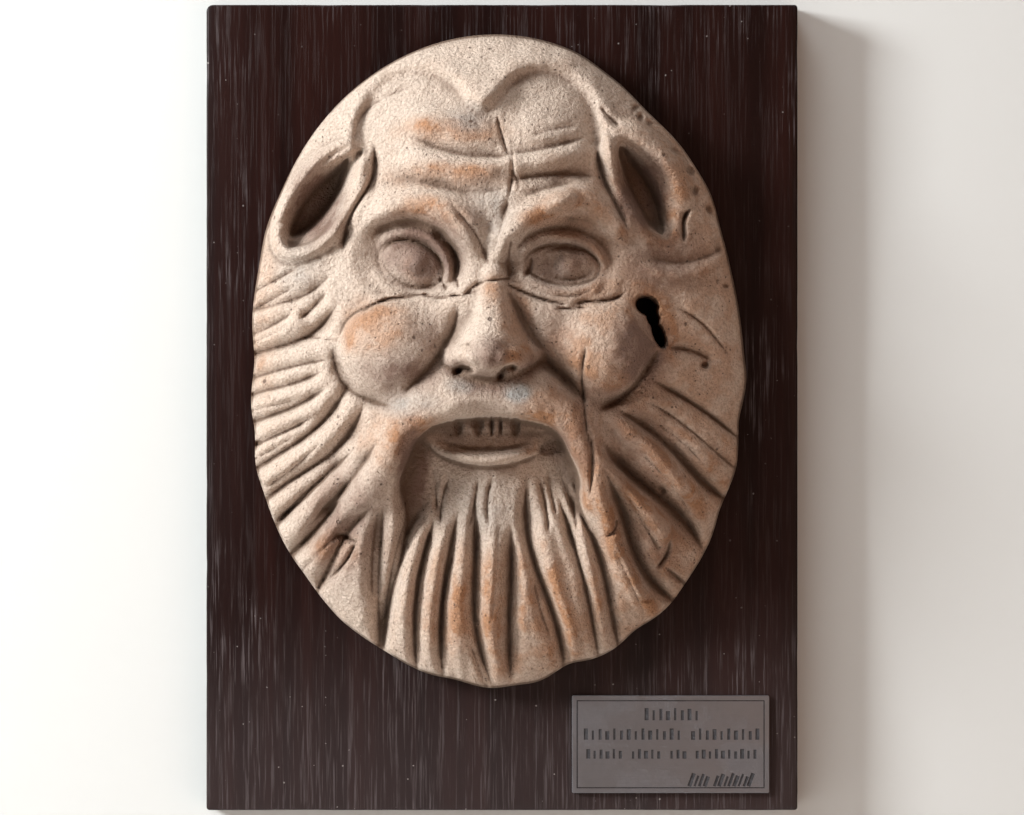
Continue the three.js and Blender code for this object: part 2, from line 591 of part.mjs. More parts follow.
// A rectangle about the origin with rounded corners, the radii given from the lower left counter-clockwise.
function roundedRectangle(width, height, radii) {
  const [w, h] = [width / 2, height / 2];
  const [lowLeft, lowRight, highRight, highLeft] = radii;
  const outline = new THREE.Shape();
  outline.absarc(-w + lowLeft, -h + lowLeft, lowLeft, Math.PI, 1.5 * Math.PI);
  outline.absarc(w - lowRight, -h + lowRight, lowRight, 1.5 * Math.PI, 2 * Math.PI);
  outline.absarc(w - highRight, h - highRight, highRight, 0, 0.5 * Math.PI);
  outline.absarc(-w + highLeft, h - highLeft, highLeft, 0.5 * Math.PI, Math.PI);
  return outline;
}

function makeBoard() {
  const { width, height, thickness, corner, wornCorner, easing } = BOARD;
  const corners = [corner, corner, corner, wornCorner];
  const outline = roundedRectangle(width - 2 * easing, height - 2 * easing, corners);
  const geometry = new THREE.ExtrudeGeometry(outline, {
    depth: thickness - 2 * easing, bevelThickness: easing, bevelSize: easing, bevelSegments: 1,
    curveSegments: 3,
  });
  const stainedWood = new THREE.MeshStandardMaterial({ color: 0x22130f, roughness: 0.45, metalness: 0 });
  const board = new THREE.Mesh(geometry, stainedWood);
  board.name = 'board';
  board.position.z = easing;
  return board;
}

// One bar to cut out of the plate's face, leaning if it stands in the handwritten row.
function engravedBar(x, y, width, height, lean = 0) {
  const { thickness, lineDepth } = PLATE;
  const box = new THREE.BoxGeometry(width, height, 2 * lineDepth);
  box.rotateZ(-lean);
  box.translate(x, y, thickness);
  return closedGeometry(box);
}

// A closed geometry as a solid, with the corners that its faces share made one.
function closedGeometry(geometry) {
  geometry.deleteAttribute('normal');
  geometry.deleteAttribute('uv');
  const merged = mergeVertices(geometry);
  return solidOf(merged.getAttribute('position').array, merged.index.array);
}

// Rows of upright strokes where an inscription goes: the first row's middle, its height,
// the lengths of its words in strokes, the pitch of the strokes and how far they lean.
const PLATE_ROWS = [
  { x: 0.4, y: 12.2, height: 5, words: [8], pitch: 2.9, lean: 0 },
  { x: 0.4, y: 4.1, height: 4.6, words: [14, 10], pitch: 2.9, lean: 0 },
  { x: 0.4, y: -3.9, height: 3.9, words: [6, 5, 3, 10], pitch: 2.6, lean: 0 },
  { x: 20.5, y: -14.4, height: 5.6, words: [4, 8], pitch: 2, lean: 0.35 },
];

function engravedRow({ x, y, height, words, pitch, lean }) {
  const places = words.reduce((sum, word) => sum + word + 1, -1);
  let place = 0;
  return words.flatMap((word) => {
    const bars = Array.from({ length: word }, (_, i) => {
      const tall = height * [1, 0.82, 0.94, 0.76][(place + i) % 4];
      const right = x + (place + i - (places - 1) / 2) * pitch;
      return engravedBar(right, y - (height - tall) / 2, PLATE.lineWidth, tall, lean);
    });
    place += word + 1;
    return bars;
  });
}

function makePlate() {
  const { width, height, thickness, corner, borderInset, lineWidth } = PLATE;
  const outline = roundedRectangle(width, height, [corner, corner, corner, corner]);
  const flat = { depth: thickness, bevelEnabled: false, curveSegments: 2 };
  const sheet = new THREE.ExtrudeGeometry(outline, flat);
  const [lineX, lineY] = [width / 2 - borderInset, height / 2 - borderInset];
  const border = [1, -1].flatMap((side) => [
    engravedBar(0, side * lineY, 2 * lineX + lineWidth, lineWidth),
    engravedBar(side * lineX, 0, lineWidth, 2 * lineY),
  ]);
  const cuts = [...border, ...PLATE_ROWS.flatMap(engravedRow)];
  const solid = cuts.reduce((plate, cut) => plate.subtract(cut), closedGeometry(sheet));
  const silver = new THREE.MeshStandardMaterial({ color: 0x9c9a98, roughness: 0.4, metalness: 0.9 });
  const plate = new THREE.Mesh(geometryOf(solid), silver);
  plate.name = 'plate';
  plate.position.set(PLATE.right, PLATE.up, BOARD.thickness + GAP);
  return plate;
}

// Everything is modelled lying down, with its front up, and then stood against the wall.
const plaque = new THREE.Group();
plaque.add(makeBoard(), makeMask(), makePlate());
plaque.rotation.x = Math.PI / 2;

const group = new THREE.Group();
group.add(plaque);
group.updateMatrixWorld(true);

export default group;
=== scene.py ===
# %% [markdown]
# # A clay mask on a wall plaque
# The object is an oval mask of a bearded, bald wood spirit with horse ears, in fired clay. It is fixed on a
# dark wooden board with a small engraved metal plate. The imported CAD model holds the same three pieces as
# plain solids. This script models them finely, at the same size and place, and gives each one its finish.
# The shared frame is in metres: X to the right, Z up, the front faces -Y and the wall is the plane y = 0.

import bmesh
import bpy
import numpy as np
from mathutils import Matrix, Vector, noise


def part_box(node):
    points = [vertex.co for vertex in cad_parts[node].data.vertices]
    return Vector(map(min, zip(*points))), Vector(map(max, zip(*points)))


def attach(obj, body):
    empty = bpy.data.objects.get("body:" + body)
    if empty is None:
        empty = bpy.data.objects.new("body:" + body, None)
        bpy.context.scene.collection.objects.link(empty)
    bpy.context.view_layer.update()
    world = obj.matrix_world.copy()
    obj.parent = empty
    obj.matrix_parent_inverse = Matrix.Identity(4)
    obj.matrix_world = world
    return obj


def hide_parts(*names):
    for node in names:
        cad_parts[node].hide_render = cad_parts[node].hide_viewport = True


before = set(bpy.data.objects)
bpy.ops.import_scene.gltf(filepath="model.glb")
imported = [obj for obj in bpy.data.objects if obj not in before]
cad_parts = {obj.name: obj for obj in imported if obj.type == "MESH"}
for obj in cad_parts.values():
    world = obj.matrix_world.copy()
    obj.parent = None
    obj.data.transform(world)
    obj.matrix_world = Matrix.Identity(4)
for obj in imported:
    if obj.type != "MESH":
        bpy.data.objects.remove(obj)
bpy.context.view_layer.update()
MM = 0.001

# %% [markdown]
# ## Places
# Each piece is modelled lying down, in millimetres, with its front up, as it would lie on a bench. At the end
# it is stood against the wall. The CAD boxes say where the board and the plate go, how large they are and how
# far out the mask's back lies. The mask is trimmed unevenly, so its middle isn't quite that of its box, and
# it is a named value here, as the mask's own sizes are below.

# %% Places of the three pieces
mask_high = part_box("mask")[1]
board_low, board_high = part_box("board")
plate_low, plate_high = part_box("plate")

BOARD_WIDTH = (board_high[0] - board_low[0]) / MM
BOARD_HEIGHT = (board_high[2] - board_low[2]) / MM
BOARD_THICKNESS = (board_high[1] - board_low[1]) / MM
PLATE_WIDTH = (plate_high[0] - plate_low[0]) / MM
PLATE_HEIGHT = (plate_high[2] - plate_low[2]) / MM
PLATE_THICKNESS = (plate_high[1] - plate_low[1]) / MM
PLATE_MIDDLE = ((plate_low[0] + plate_high[0]) / 2 / MM, (plate_low[2] + plate_high[2]) / 2 / MM)
MASK_MIDDLE = (-1.6, 18.9)
MASK_BACK = -mask_high[1] / MM
PLATE_BACK = -plate_high[1] / MM
print(f"board {BOARD_WIDTH:.1f} x {BOARD_HEIGHT:.1f} x {BOARD_THICKNESS:.1f} mm")


def stand_up(bm, middle, back):
    """Turn a piece that lies face up on the bench so that it stands against the wall, in metres."""
    place = Matrix.Translation(Vector((middle[0], middle[1], back)))
    bmesh.ops.transform(bm, matrix=place, verts=bm.verts)
    bmesh.ops.scale(bm, vec=(MM, MM, MM), verts=bm.verts)
    bmesh.ops.rotate(bm, cent=(0, 0, 0), matrix=Matrix.Rotation(np.pi / 2, 3, "X"), verts=bm.verts)


def piece_from(bm, name):
    """A finished bmesh as an object whose place is in its mesh."""
    mesh = bpy.data.meshes.new(name)
    bm.to_mesh(mesh)
    bm.free()
    piece = bpy.data.objects.new(name, mesh)
    bpy.context.scene.collection.objects.link(piece)
    return piece


# %% [markdown]
# ## The clay, as a height above the bench
# A relief like this is pressed up from a flat slab: every point of its front can be seen from straight ahead,
# so its whole form is one height for each place on the slab. A sculptor could push it about by hand in Sculpt
# Mode. Here a few numpy functions do the same, because a named size can be read and changed later.
# `u` runs to the right and `v` up from the mask's middle, in millimetres.

# %% Clay helpers
def smooth(low, high, x):
    """0 below low, 1 above high, and an easy curve between."""
    t = np.clip((x - low) / (high - low), 0, 1)
    return t * t * (3 - 2 * t)


def blend_max(a, b, blend):
    """The larger of two heights, with the corner between them rounded."""
    t = np.clip(0.5 + 0.5 * (a - b) / blend, 0, 1)
    return b + (a - b) * t + blend * t * (1 - t)


def reach(u, v, centre, size, turn=0.0):
    """Distance from the middle of a turned ellipse: 0 there, 1 on its edge."""
    c, s = np.cos(np.radians(turn)), np.sin(np.radians(turn))
    du, dv = u - centre[0], v - centre[1]
    return np.hypot((du * c + dv * s) / size[0], (dv * c - du * s) / size[1])


def mound(u, v, centre, size, turn=0.0, power=2.0):
    """A soft swelling: 1 at the middle of the ellipse, 0 on its edge."""
    return np.clip(1 - reach(u, v, centre, size, turn) ** 2, 0, None) ** power


def inside_by(u, v, centre, size):
    """About how far a place lies inside an ellipse, and negative outside it."""
    return (1 - reach(u, v, centre, size)) * min(size)


NOWHERE = -1000.0


def egg(u, v, centre, size, top, turn):
    """The height of an egg of half sizes (across, up, out) whose crest stands at top."""
    q = 1 - reach(u, v, centre, size[:2], turn) ** 2
    return np.where(q > 0, top - size[2] + size[2] * np.sqrt(np.clip(q, 0, None)), NOWHERE)


KEEL_REACH, KEEL_SIDE, KEEL_WIDENING = 1.5, 2.6, 1.7


def keel(u, v, start, end, radii, tops, drop):
    """The height of a ridge that widens and rises on its way, and has sunk by drop at its radius."""
    along = np.subtract(end, start)
    t = np.clip(((u - start[0]) * along[0] + (v - start[1]) * along[1]) / (along @ along), 0, 1)
    radius = radii[0] + (radii[1] - radii[0]) * t**KEEL_WIDENING
    q = np.hypot(u - start[0] - t * along[0], v - start[1] - t * along[1]) / radius
    return np.where(q < KEEL_REACH, tops[0] + (tops[1] - tops[0]) * t - drop * q**KEEL_SIDE, NOWHERE)


def dish(u, v, centre, half_length, half_width, turn, taper):
    """How deep a long dish is: 1 on its floor, 0 on its edge; taper narrows its far end."""
    c, s = np.cos(np.radians(turn)), np.sin(np.radians(turn))
    du, dv = u - centre[0], v - centre[1]
    along = np.clip((du * c + dv * s) / half_length, -1, 1)
    width = half_width * np.clip(1 - along * along, 1e-6, None) ** 0.6 * (1 - taper * along)
    return smooth(1, 0, np.abs(dv * c - du * s) / width) * np.sqrt(1 - along * along)


def swell(clay, rows):
    """Raise or sink ellipses of the clay; a row is the middle, half sizes, turn, power and rise."""
    for middle, size, turn, power, rise in rows:
        clay["h"] = clay["h"] + rise * mound(clay["u"], clay["v"], middle, size, turn, power)


def add_eggs(clay, rows, blend):
    """Press balls of clay on; a row is the middle, half sizes with the depth, crest height and turn."""
    for middle, size, top, turn in rows:
        clay["h"] = blend_max(clay["h"], egg(clay["u"], clay["v"], middle, size, top, turn), blend)


def height_at(clay, u, v):
    """The height of the clay at the place of the grid that is nearest to u, v."""
    return clay["h"].flat[np.argmin(np.hypot(clay["u"] - u, clay["v"] - v))]


print(f"a quarter of the way from low to high, smooth gives {smooth(0, 1, 0.25):.3f}")

# %% [markdown]
# ## The strokes of the fingers and the tool
# Brows, lids, wrinkles, ears and every lock of the beard are strokes. One function draws them all: a cut has
# a sharp bottom, as a wooden tool leaves it, and a roll of clay has a round top. Each stroke is one row:
# where it starts and ends, how far it bows to its left, how far it snakes, its half width and its rise.

# %% One stroke
STROKE_ENDS, STROKE_OVERRUN, END_WIDTH = 0.26, 0.02, 0.45
STROKE_STEPS = 18
SWEEP_SLACK = 20


def press(clay, near, away, at, half_width, rise):
    """Press one stroke into the clay near its path, from how far away and how far along each place is."""
    strength = smooth(0, STROKE_ENDS, STROKE_OVERRUN + at)
    strength *= smooth(0, STROKE_ENDS, STROKE_OVERRUN + 1 - at)
    q = np.clip(away / (half_width * (END_WIDTH + (1 - END_WIDTH) * strength)), 0, 1)
    profile = (1 - q) ** 2 if rise < 0 else (1 - q * q) ** 2
    clay["h"][near] += rise * strength * profile


def draw(clay, row):
    """Draw one stroke over the clay; a negative rise is a cut."""
    u0, v0, u1, v1, bow, sway, half_width, rise = row
    t = np.linspace(0, 1, STROKE_STEPS + 1)
    length = np.hypot(u1 - u0, v1 - v0)
    aside = bow * np.sin(np.pi * t) + sway * np.sin(2 * np.pi * t)
    path_u = u0 + (u1 - u0) * t - (v1 - v0) / length * aside
    path_v = v0 + (v1 - v0) * t + (u1 - u0) / length * aside
    near = (clay["u"] > path_u.min() - half_width) & (clay["u"] < path_u.max() + half_width)
    near &= (clay["v"] > path_v.min() - half_width) & (clay["v"] < path_v.max() + half_width)
    u, v = clay["u"][near], clay["v"][near]
    nearest = np.full(u.shape, np.inf)
    at = np.zeros(u.shape)
    for i in range(STROKE_STEPS):
        du, dv = path_u[i + 1] - path_u[i], path_v[i + 1] - path_v[i]
        share = np.clip(((u - path_u[i]) * du + (v - path_v[i]) * dv) / (du * du + dv * dv), 0, 1)
        away = np.hypot(u - path_u[i] - share * du, v - path_v[i] - share * dv)
        closer = away < nearest
        nearest[closer] = away[closer]
        at[closer] = (i + share[closer]) / STROKE_STEPS
    press(clay, near, nearest, at, half_width, rise)


def draw_all(clay, rows, firmness=1.0):
    """Draw every row; firmness makes all their cuts and rolls deeper or higher."""
    for *route, half_width, rise in rows:
        draw(clay, (*route, half_width, firmness * rise))


def sweep_all(clay, rows):
    """Strokes round an ellipse: its middle, half sizes and turn, two clock angles, half width, rise."""
    for u0, v0, half_u, half_v, turn, first, last, half_width, rise in rows:
        c, s = np.cos(np.radians(turn)), np.sin(np.radians(turn))
        du, dv = clay["u"] - u0, clay["v"] - v0
        x, y = (du * c + dv * s) / half_u, (dv * c - du * s) / half_v
        away = np.hypot(du, dv) * np.abs(1 - 1 / np.clip(np.hypot(x, y), 1e-3, None))
        angle = np.degrees(np.arctan2(y, x)) - first
        at = ((angle + SWEEP_SLACK) % 360 - SWEEP_SLACK) / (last - first)
        near = away < half_width
        press(clay, near, away[near], at[near], half_width, rise)


print(f"a stroke is drawn in {STROKE_STEPS} straight steps")

# %% [markdown]
# ## The slab and its outline
# The mask is a little irregular because a hand trimmed it: the outline is an ellipse with a few swells and
# dents. A square grid would leave the oval's edge ragged, so the grid's square is bent to the oval instead,
# and its border follows the trimmed edge exactly.

# %% The slab
HALF_WIDTH, HALF_HEIGHT = 99.7, 131.2
RIM_HEIGHT, DOME_RISE, ROUNDNESS = 9.0, 25.0, 58.0
HOLLOW_MARGIN, HOLLOW_RISE, THINNEST_WALL = 20.0, 15.0, 4.0
CELLS = 300
OUTLINE = [
    (22, -2, 22), (60, -3, 9), (128, 2.4, 26), (180, -2, 7), (218, 3.2, 24), (284, -2, 9), (316, 2.2, 18),
    (38, 1.1, 5), (70, -0.8, 4), (150, 0.9, 6), (196, -0.9, 4), (204, 0.8, 4), (228, -0.5, 4), (239, 0.5, 4),
    (249, -0.5, 4), (262, -0.9, 3), (269, 0.7, 3), (277, 0.8, 3), (283, -1.5, 3), (290, 0.8, 4),
    (297, -1.1, 3), (305, 0.8, 4), (326, -1.1, 4), (336, 0.9, 4), (346, -1.1, 4), (356, 0.8, 4),
]


def rim_radius(angle):
    """The rim's distance from the middle; each swell is (clock angle, mm outwards, spread)."""
    radius = 1 / np.hypot(np.cos(angle) / HALF_WIDTH, np.sin(angle) / HALF_HEIGHT)
    for at, out, spread in OUTLINE:
        away = np.abs((np.degrees(angle) - at + 540) % 360 - 180)
        radius = radius + out * np.exp(-((away / spread) ** 2))
    return radius


def slab_points(x, y):
    """Bend the square from -1 to 1 to the trimmed oval."""
    across, tall = x * np.sqrt(1 - y * y / 2), y * np.sqrt(1 - x * x / 2)
    out = np.clip(np.hypot(across, tall), 0, 1)
    angle = np.arctan2(tall * HALF_HEIGHT, across * HALF_WIDTH)
    radius = rim_radius(angle) * out
    return {"u": radius * np.cos(angle), "v": radius * np.sin(angle), "out": out}


step = np.linspace(-1, 1, CELLS + 1)
clay = slab_points(*np.meshgrid(step, step))
print(f"the slab is {np.ptp(clay['u']):.1f} mm wide and {np.ptp(clay['v']):.1f} mm high")

# %% [markdown]
# ## Skull and hair
# The bald forehead swells in two lobes, and the cap of hair lies round them with a soft thick edge that
# comes down to a peak between them. The edge is made from one number, how far a place lies inside the
# lobes, so the step, its rounded lip and the shadow line under it always run together.

# %% Skull and hair
FOREHEAD_LINES = [
    [-39, 96, 4, 89, 0.5, 1, 8, 2.8],
    [-37, 91, 7, 82, -4, 0, 6.2, -3.2],
    [1, 82, 35, 89.5, -1.2, 0, 5, -2.6],
    [-42, 80, 6, 78, -2, 0.6, 7.5, 3],
    [-2, 78, 42, 86, -1.8, 0.5, 6.2, 3],
    [-33, 71.5, 6, 69.5, -3, 0.5, 6, -2.2],
    [3, 71, 42, 73.5, 2, 0, 5, -2.6],
    [12, 89, 33, 94.5, 0.6, 0, 2.6, -1.2],
    [10, 65, 32, 71.5, 1, 0, 3, -1.6],
    [-55, 74.5, -29, 113, 13, 1.5, 3.6, -1.8],
]
SKULL_SWELLINGS = [
    ((-0.4, 20.7), (76, 84), 0, 1.6, 8),
    ((-2.4, 77.5), (56, 52), 0, 1.6, 8),
    ((-27.6, 89.7), (24, 19), 8, 1.5, 3.5),
    ((21, 92.2), (19, 18), -10, 1.5, 3.5),
    ((-5, 105), (15, 12), 0, 1.5, 4),
]
LEFT_LOBE, RIGHT_LOBE = ((-33, 92.2), (23.5, 25.5)), ((18.8, 93.8), (21.8, 23.8))
BALD_FACE = ((-0.4, 56.4), (54, 44))
HAIR_THICKNESS = 3.8


def model_skull(clay):
    """The domed slab, the step of the hair with its rounded lip, and the lines of the forehead."""
    u, v, out = clay["u"], clay["v"], clay["out"]
    h = RIM_HEIGHT + DOME_RISE * (1 - out**2.7) ** 0.72
    lobes = blend_max(inside_by(u, v, *LEFT_LOBE), inside_by(u, v, *RIGHT_LOBE), 1.6)
    bare = blend_max(lobes, inside_by(u, v, *BALD_FACE), 9)
    step = HAIR_THICKNESS * smooth(2.6, -2.8, bare) * np.sqrt(smooth(1, 0.86, out))
    lip = 1.2 * np.exp(-(((bare + 3.4) / 4) ** 2)) - 0.9 * np.exp(-(((bare - 2) / 2.6) ** 2))
    clay["h"] = h + smooth(55, 86, v) * (step + lip)
    swell(clay, SKULL_SWELLINGS)
    draw_all(clay, FOREHEAD_LINES)


model_skull(clay)
print(f"the left lobe is {height_at(clay, *LEFT_LOBE[0]):.1f} mm high")

# %% [markdown]
# ## Brows and eyes
# The brows are thick rolls that dive to the root of the nose. Each eye is a ball set in a hollow. Its lids
# are arcs of clay round an ellipse, with a fine cut where the lid meets the ball, so one function sweeps them
# all. A low bump stands for the iris.

# %% Brows and eyes
BROW_ROLLS = [
    [-1, 36.5, 33.5, 66, 6, 0.5, 10, 7],
    [18, 60, 53.5, 46, 10.5, 1, 9, 6],
    [-19.5, 62, -3, 36, 2.5, 0, 3, -2.6],
    [4.5, 65.5, -2, 41, 0, 0, 3.4, -2],
    [6, 50, 4.5, 31, -1, 0, 7, -5],
]
LEFT_SOCKET = [-34, 40.5, 24, 22.5, 0, -4, 150, 10.5, 7.5]
LIDS = [
    [-34.5, 40.5, 18.2, 14.8, -20, -20, 180, 6.4, -2.8],
    [-34, 38.8, 15, 11.4, -25, -25, 190, 3.4, 3.6],
    [-34, 38.3, 16, 12, -22, 205, 330, 5, 2],
    [-34, 38.5, 13, 8.7, -25, -20, 205, 2.6, -3],
    [-34, 38.5, 13, 8.7, -25, 175, 370, 2.2, -1.6],
    [26, 38.5, 19.5, 14.4, -4, -10, 190, 6, -2],
    [26, 38.6, 16, 10.9, -5, -20, 200, 3.4, 3.2],
    [26, 37.4, 17, 10.4, -4, 195, 345, 4.2, 2.8],
    [26, 38, 15, 7.8, -6, -20, 205, 2.2, -2],
    [26, 38, 15, 7.8, -6, 175, 370, 1.9, -1.2],
    [27, 38, 10, 5.2, -6, 20, 150, 1.8, 0.8],
    [26, 38.3, 17, 12.8, -4, 205, 335, 1.9, -1.5],
]
EYE_CUTS = [
    [-27, 54, -17.5, 29, 5, 0, 6, -5],
    [3, 42, 46, 52, 9.5, 0, 7, -1.4],
    [-24, 33.5, -20.5, 27.5, 0.5, 0, 1.8, -2],
    [-16.5, 32.5, -15.5, 28.5, 0, 0, 1.6, -2.2],
    [13.5, 42, 10.5, 33, 0.8, 0, 2.4, -2.6],
    [18, 42.5, 35, 42, 2.5, 0, 1.8, -1],
    [20, 34, 37, 34.6, -2.2, 0, 1.6, -1.2],
]
EYE_HOLLOWS = [((-34.5, 39.4), (25, 20), -15, 1.2, -10), ((26.4, 39.5), (26, 18), 5, 1.2, -5.5)]
EYEBALLS = [((-34, 38.5), (14.5, 11.5, 11), 36, -25), ((26, 38.4), (16, 11, 9), 35.6, 0)]
IRISES = [((-33, 39.4), (5.6, 5.4), 0, 1.1, 2.3), ((27.9, 38.3), (5.6, 5.2), 0, 1.1, 2.3)]


def model_eyes(clay):
    """The brows first, then the hollows, the balls in them and the lids over the balls."""
    draw_all(clay, BROW_ROLLS)
    swell(clay, EYE_HOLLOWS)
    sweep_all(clay, [LEFT_SOCKET])
    add_eggs(clay, EYEBALLS, 1.5)
    swell(clay, IRISES)
    sweep_all(clay, LIDS)
    draw_all(clay, EYE_CUTS)


model_eyes(clay)
for side, (middle, *_rest) in zip(("left", "right"), EYEBALLS):
    print(f"the {side} eyeball is {height_at(clay, *middle):.1f} mm high")

# %% [markdown]
# ## Cheeks and nose
# The cheeks are two balls that bulge out of the face, with deep folds beside the nose. The nose is a ridge
# that widens from its root to the wings. It is modelled by itself, with its tip, its wings and its sunk
# underside, and then the higher of nose and face is kept, blended where they meet.

# %% Cheeks and nose
FACE_CREASES = [
    [-66.5, 7, -41.5, -19, -8, -0.5, 6, -5],
    [-15.5, 25, -39, -15, 5, 1, 6, -4.2],
    [2.5, 31, 36, -18, -4.6, -1, 9, -9.5],
    [39, -20, 65, 6, -3.5, -0.5, 6, -6],
]
CHEEKS = [((-40.8, 6), (24.5, 23, 25), 46.7, 0), ((41.4, 4.5), (23, 23.5, 23), 45.9, 0)]
NOSE_PATH, NOSE_RADII, NOSE_TOPS = ((-1.8, 34), (-2.2, 4)), (8, 19.5), (45.5, 55)
NOSE_SIDE_DROP, NOSE_UNDERSIDE, NOSE_BLEND = 18, 15, 5
NOSE_TIP = [((-4.4, 0.6), (9.6, 9), 0, 1.1, 5.4), ((-3, 5), (15, 12), 0, 1.6, 3)]
NOSE_WINGS = [
    [-22, -4.6, -8, -3.4, 5.4, 0, 5.6, 4.2],
    [0, -4.4, 15.5, -3.4, 5, 0, 5.6, 4.2],
]
NOSTRILS = [
    [-17.6, -6.2, -9, -5.6, 3, 0, 3.4, -10],
    [0, -8.6, 9, -3.4, 3, 0, 3.6, -11],
]


def model_cheeks_and_nose(clay):
    """The balls of the cheeks and their folds, then the nose, pressed on as one piece."""
    u, v = clay["u"], clay["v"]
    add_eggs(clay, CHEEKS, 4)
    draw_all(clay, FACE_CREASES)
    nose = dict(clay, h=keel(u, v, *NOSE_PATH, NOSE_RADII, NOSE_TOPS, NOSE_SIDE_DROP))
    swell(nose, NOSE_TIP)
    draw_all(nose, NOSE_WINGS)
    nose["h"] = nose["h"] - NOSE_UNDERSIDE * smooth(-3.5, -11, v - 0.011 * (u + 4.5) ** 2)
    clay["h"] = blend_max(clay["h"], nose["h"], NOSE_BLEND)
    draw_all(clay, NOSTRILS)


model_cheeks_and_nose(clay)
print(f"the tip of the nose is {clay['h'].max():.1f} mm high")

# %% [markdown]
# ## Moustache, mouth and chin
# The moustache is one band that drapes over the open mouth. Below it the mouth and the chin lie in one
# hollow, whose edge follows the band. The teeth are what is left between short gaps under its ledge, the
# lower lip is a step with a roll along it, and the chin swells out again below.

# %% Moustache, mouth and chin
MOUSTACHE = [
    [-61, -64.5, 3, -14, 14, -5, 14, 7],
    [-15.5, -14, 47, -70, 22, 3.5, 14, 7],
    [-36, -28, 30, -28, 11, 0, 6.5, 2.5],
]
LIP_AND_CHIN = [
    [-29, -32.5, 20, -32.5, -7.2, 0, 3.8, 3.4],
    [-31.5, -25, -38, -73, 2.5, -1, 9.5, -8],
    [-32.5, -30, -37, -64, 1.5, -0.5, 4.4, -6.5],
    [-36, -60, -46, -112, -2, 0, 6.5, -5],
    [15, -36, 26, -31, 0, 0, 5, -3],
]
MOUTH_MIDDLE, MOUTH_HALF_WIDTH, CHIN_WIDENING, MOUTH_DEPTH = -3, 27.5, 11, 11
LEDGE_HEIGHT, LEDGE_SAG = -21.9, 0.0035
LIP_LOW, LIP_MIDDLE, LIP_CURVE, LIP_STEP = -40.4, -4, 0.0125, 5
TOOTH_GAPS = ((-16, 2.2), (-8, 2.4), (-2.6, 0.9), (1, 0.9), (7, 2.1))
TOOTH_GAP_UP, TOOTH_GAP_HEIGHT, TOOTH_GAP_DEPTH = -26, 4.2, 4
MOUTH_FLOOR_DROP, TEETH_RISE = 3.6, 1.8
MOUSTACHE_LOBE = ((-51.2, -42.6), (11, 24), -25, 1.5, 3)
CHIN_BALL = ((-3, -50), (25, 21), 0, 1.4, 4.6)


def model_mouth(clay):
    """The moustache, the hollow under it, and in the hollow the teeth, the lower lip and the chin."""
    draw_all(clay, MOUSTACHE)
    swell(clay, [MOUSTACHE_LOBE])
    u, v, aside = clay["u"], clay["v"], np.abs(clay["u"] - MOUTH_MIDDLE)
    below_ledge = LEDGE_HEIGHT - LEDGE_SAG * aside**2.2 - v
    half_width = MOUTH_HALF_WIDTH + CHIN_WIDENING * smooth(-22, -54, v)
    inside = -blend_max(aside - half_width, -below_ledge, 5)
    recess = smooth(-1.2, 2.6 + 5 * smooth(-40, -70, v), inside)
    h = clay["h"] - MOUTH_DEPTH * smooth(-108, -38, v) * recess
    h -= MOUTH_FLOOR_DROP * smooth(0, 1.5, inside) * smooth(-38.6, -34.5, v)
    h += TEETH_RISE * smooth(0, 1.5, inside) * smooth(-29.4, -28, v)
    below_lip = LIP_LOW + LIP_CURVE * (u - LIP_MIDDLE) ** 2 - v
    h -= LIP_STEP * smooth(0, 3, below_lip) * smooth(-70, -46, v) * recess
    for middle, half_width in TOOTH_GAPS:
        gap = mound(u, v, (middle, TOOTH_GAP_UP), (half_width, TOOTH_GAP_HEIGHT), 0, 0.8)
        h -= TOOTH_GAP_DEPTH * gap * smooth(0, 1.2, below_ledge)
    clay["h"] = h
    swell(clay, [CHIN_BALL])
    draw_all(clay, LIP_AND_CHIN)


model_mouth(clay)
print(f"the chin is {height_at(clay, *CHIN_BALL[0]):.1f} mm high")

# %% [markdown]
# ## The locks of the beard
# Every lock lies between two cuts, and low rolls along some of them make them fat. The cuts on the sides fan
# out from the cheeks to the rim, and those of the chin run down like flutes. Short fine cuts between them
# are the marks of the tool.

# %% Locks
LEFT_LOCKS = [
    [-79.5, 38, -105.5, 25, 0.5, 0, 2.5, -1.4],
    [-66, 36, -103.2, 18.7, 3.5, 1, 6, -2.6],
    [-68.5, 28.5, -80.5, 16, 1, 0, 5.5, -2.8],
    [-81, 20.5, -106.1, 8.7, 1.5, 0, 5.5, -2.6],
    [-63, 25, -107, 0, 6, 1.5, 8, -4.2],
    [-65, 1, -108, -10, -1, 0, 5.5, -2.8],
    [-68, -2.5, -108.5, -18, 0.5, 1, 6, -3.2],
    [-67, -9.5, -108, -28, 2, 0.5, 6.5, -3.6],
    [-73, -21.5, -105.5, -39, 0, 0.5, 5.5, -3],
    [-58.5, -7, -104.5, -48, 5, 1, 8, -4.8],
    [-52, -14, -99, -61, 5, 2, 8.2, -5],
    [-57, -35, -93.5, -72, -1.5, 0.5, 7, -4.8],
    [-47.5, -31, -75, -64, 2, 0, 7, -3.6],
    [-62, -54, -88.5, -83, 1, 0, 7, -4.4],
    [-48, -57, -76, -98, -3, -1, 7.5, -4.2],
    [-46, -55, -45.4, -122.5, -2.5, 0.5, 8.5, -4.6],
    [-80, 31, -105, 18, 0.5, 0, 2.2, -1],
    [-84, 14, -107, 4.5, 0.5, 0, 2.2, -1],
    [-78, -14, -107, -23, 0, 0.5, 2.2, -0.9],
    [-80, -29, -103, -42, 0.5, 0, 2.2, -1.1],
    [-70, -31.5, -97, -53, 1.5, 0, 2.4, -1.2],
    [-66, -44, -93, -67, 1, 0, 2.4, -1.1],
    [-58, -47, -80, -69.5, 1, 0, 2.4, -1.1],
    [-57, -60, -84, -89, 1, 0, 2.4, -1],
]
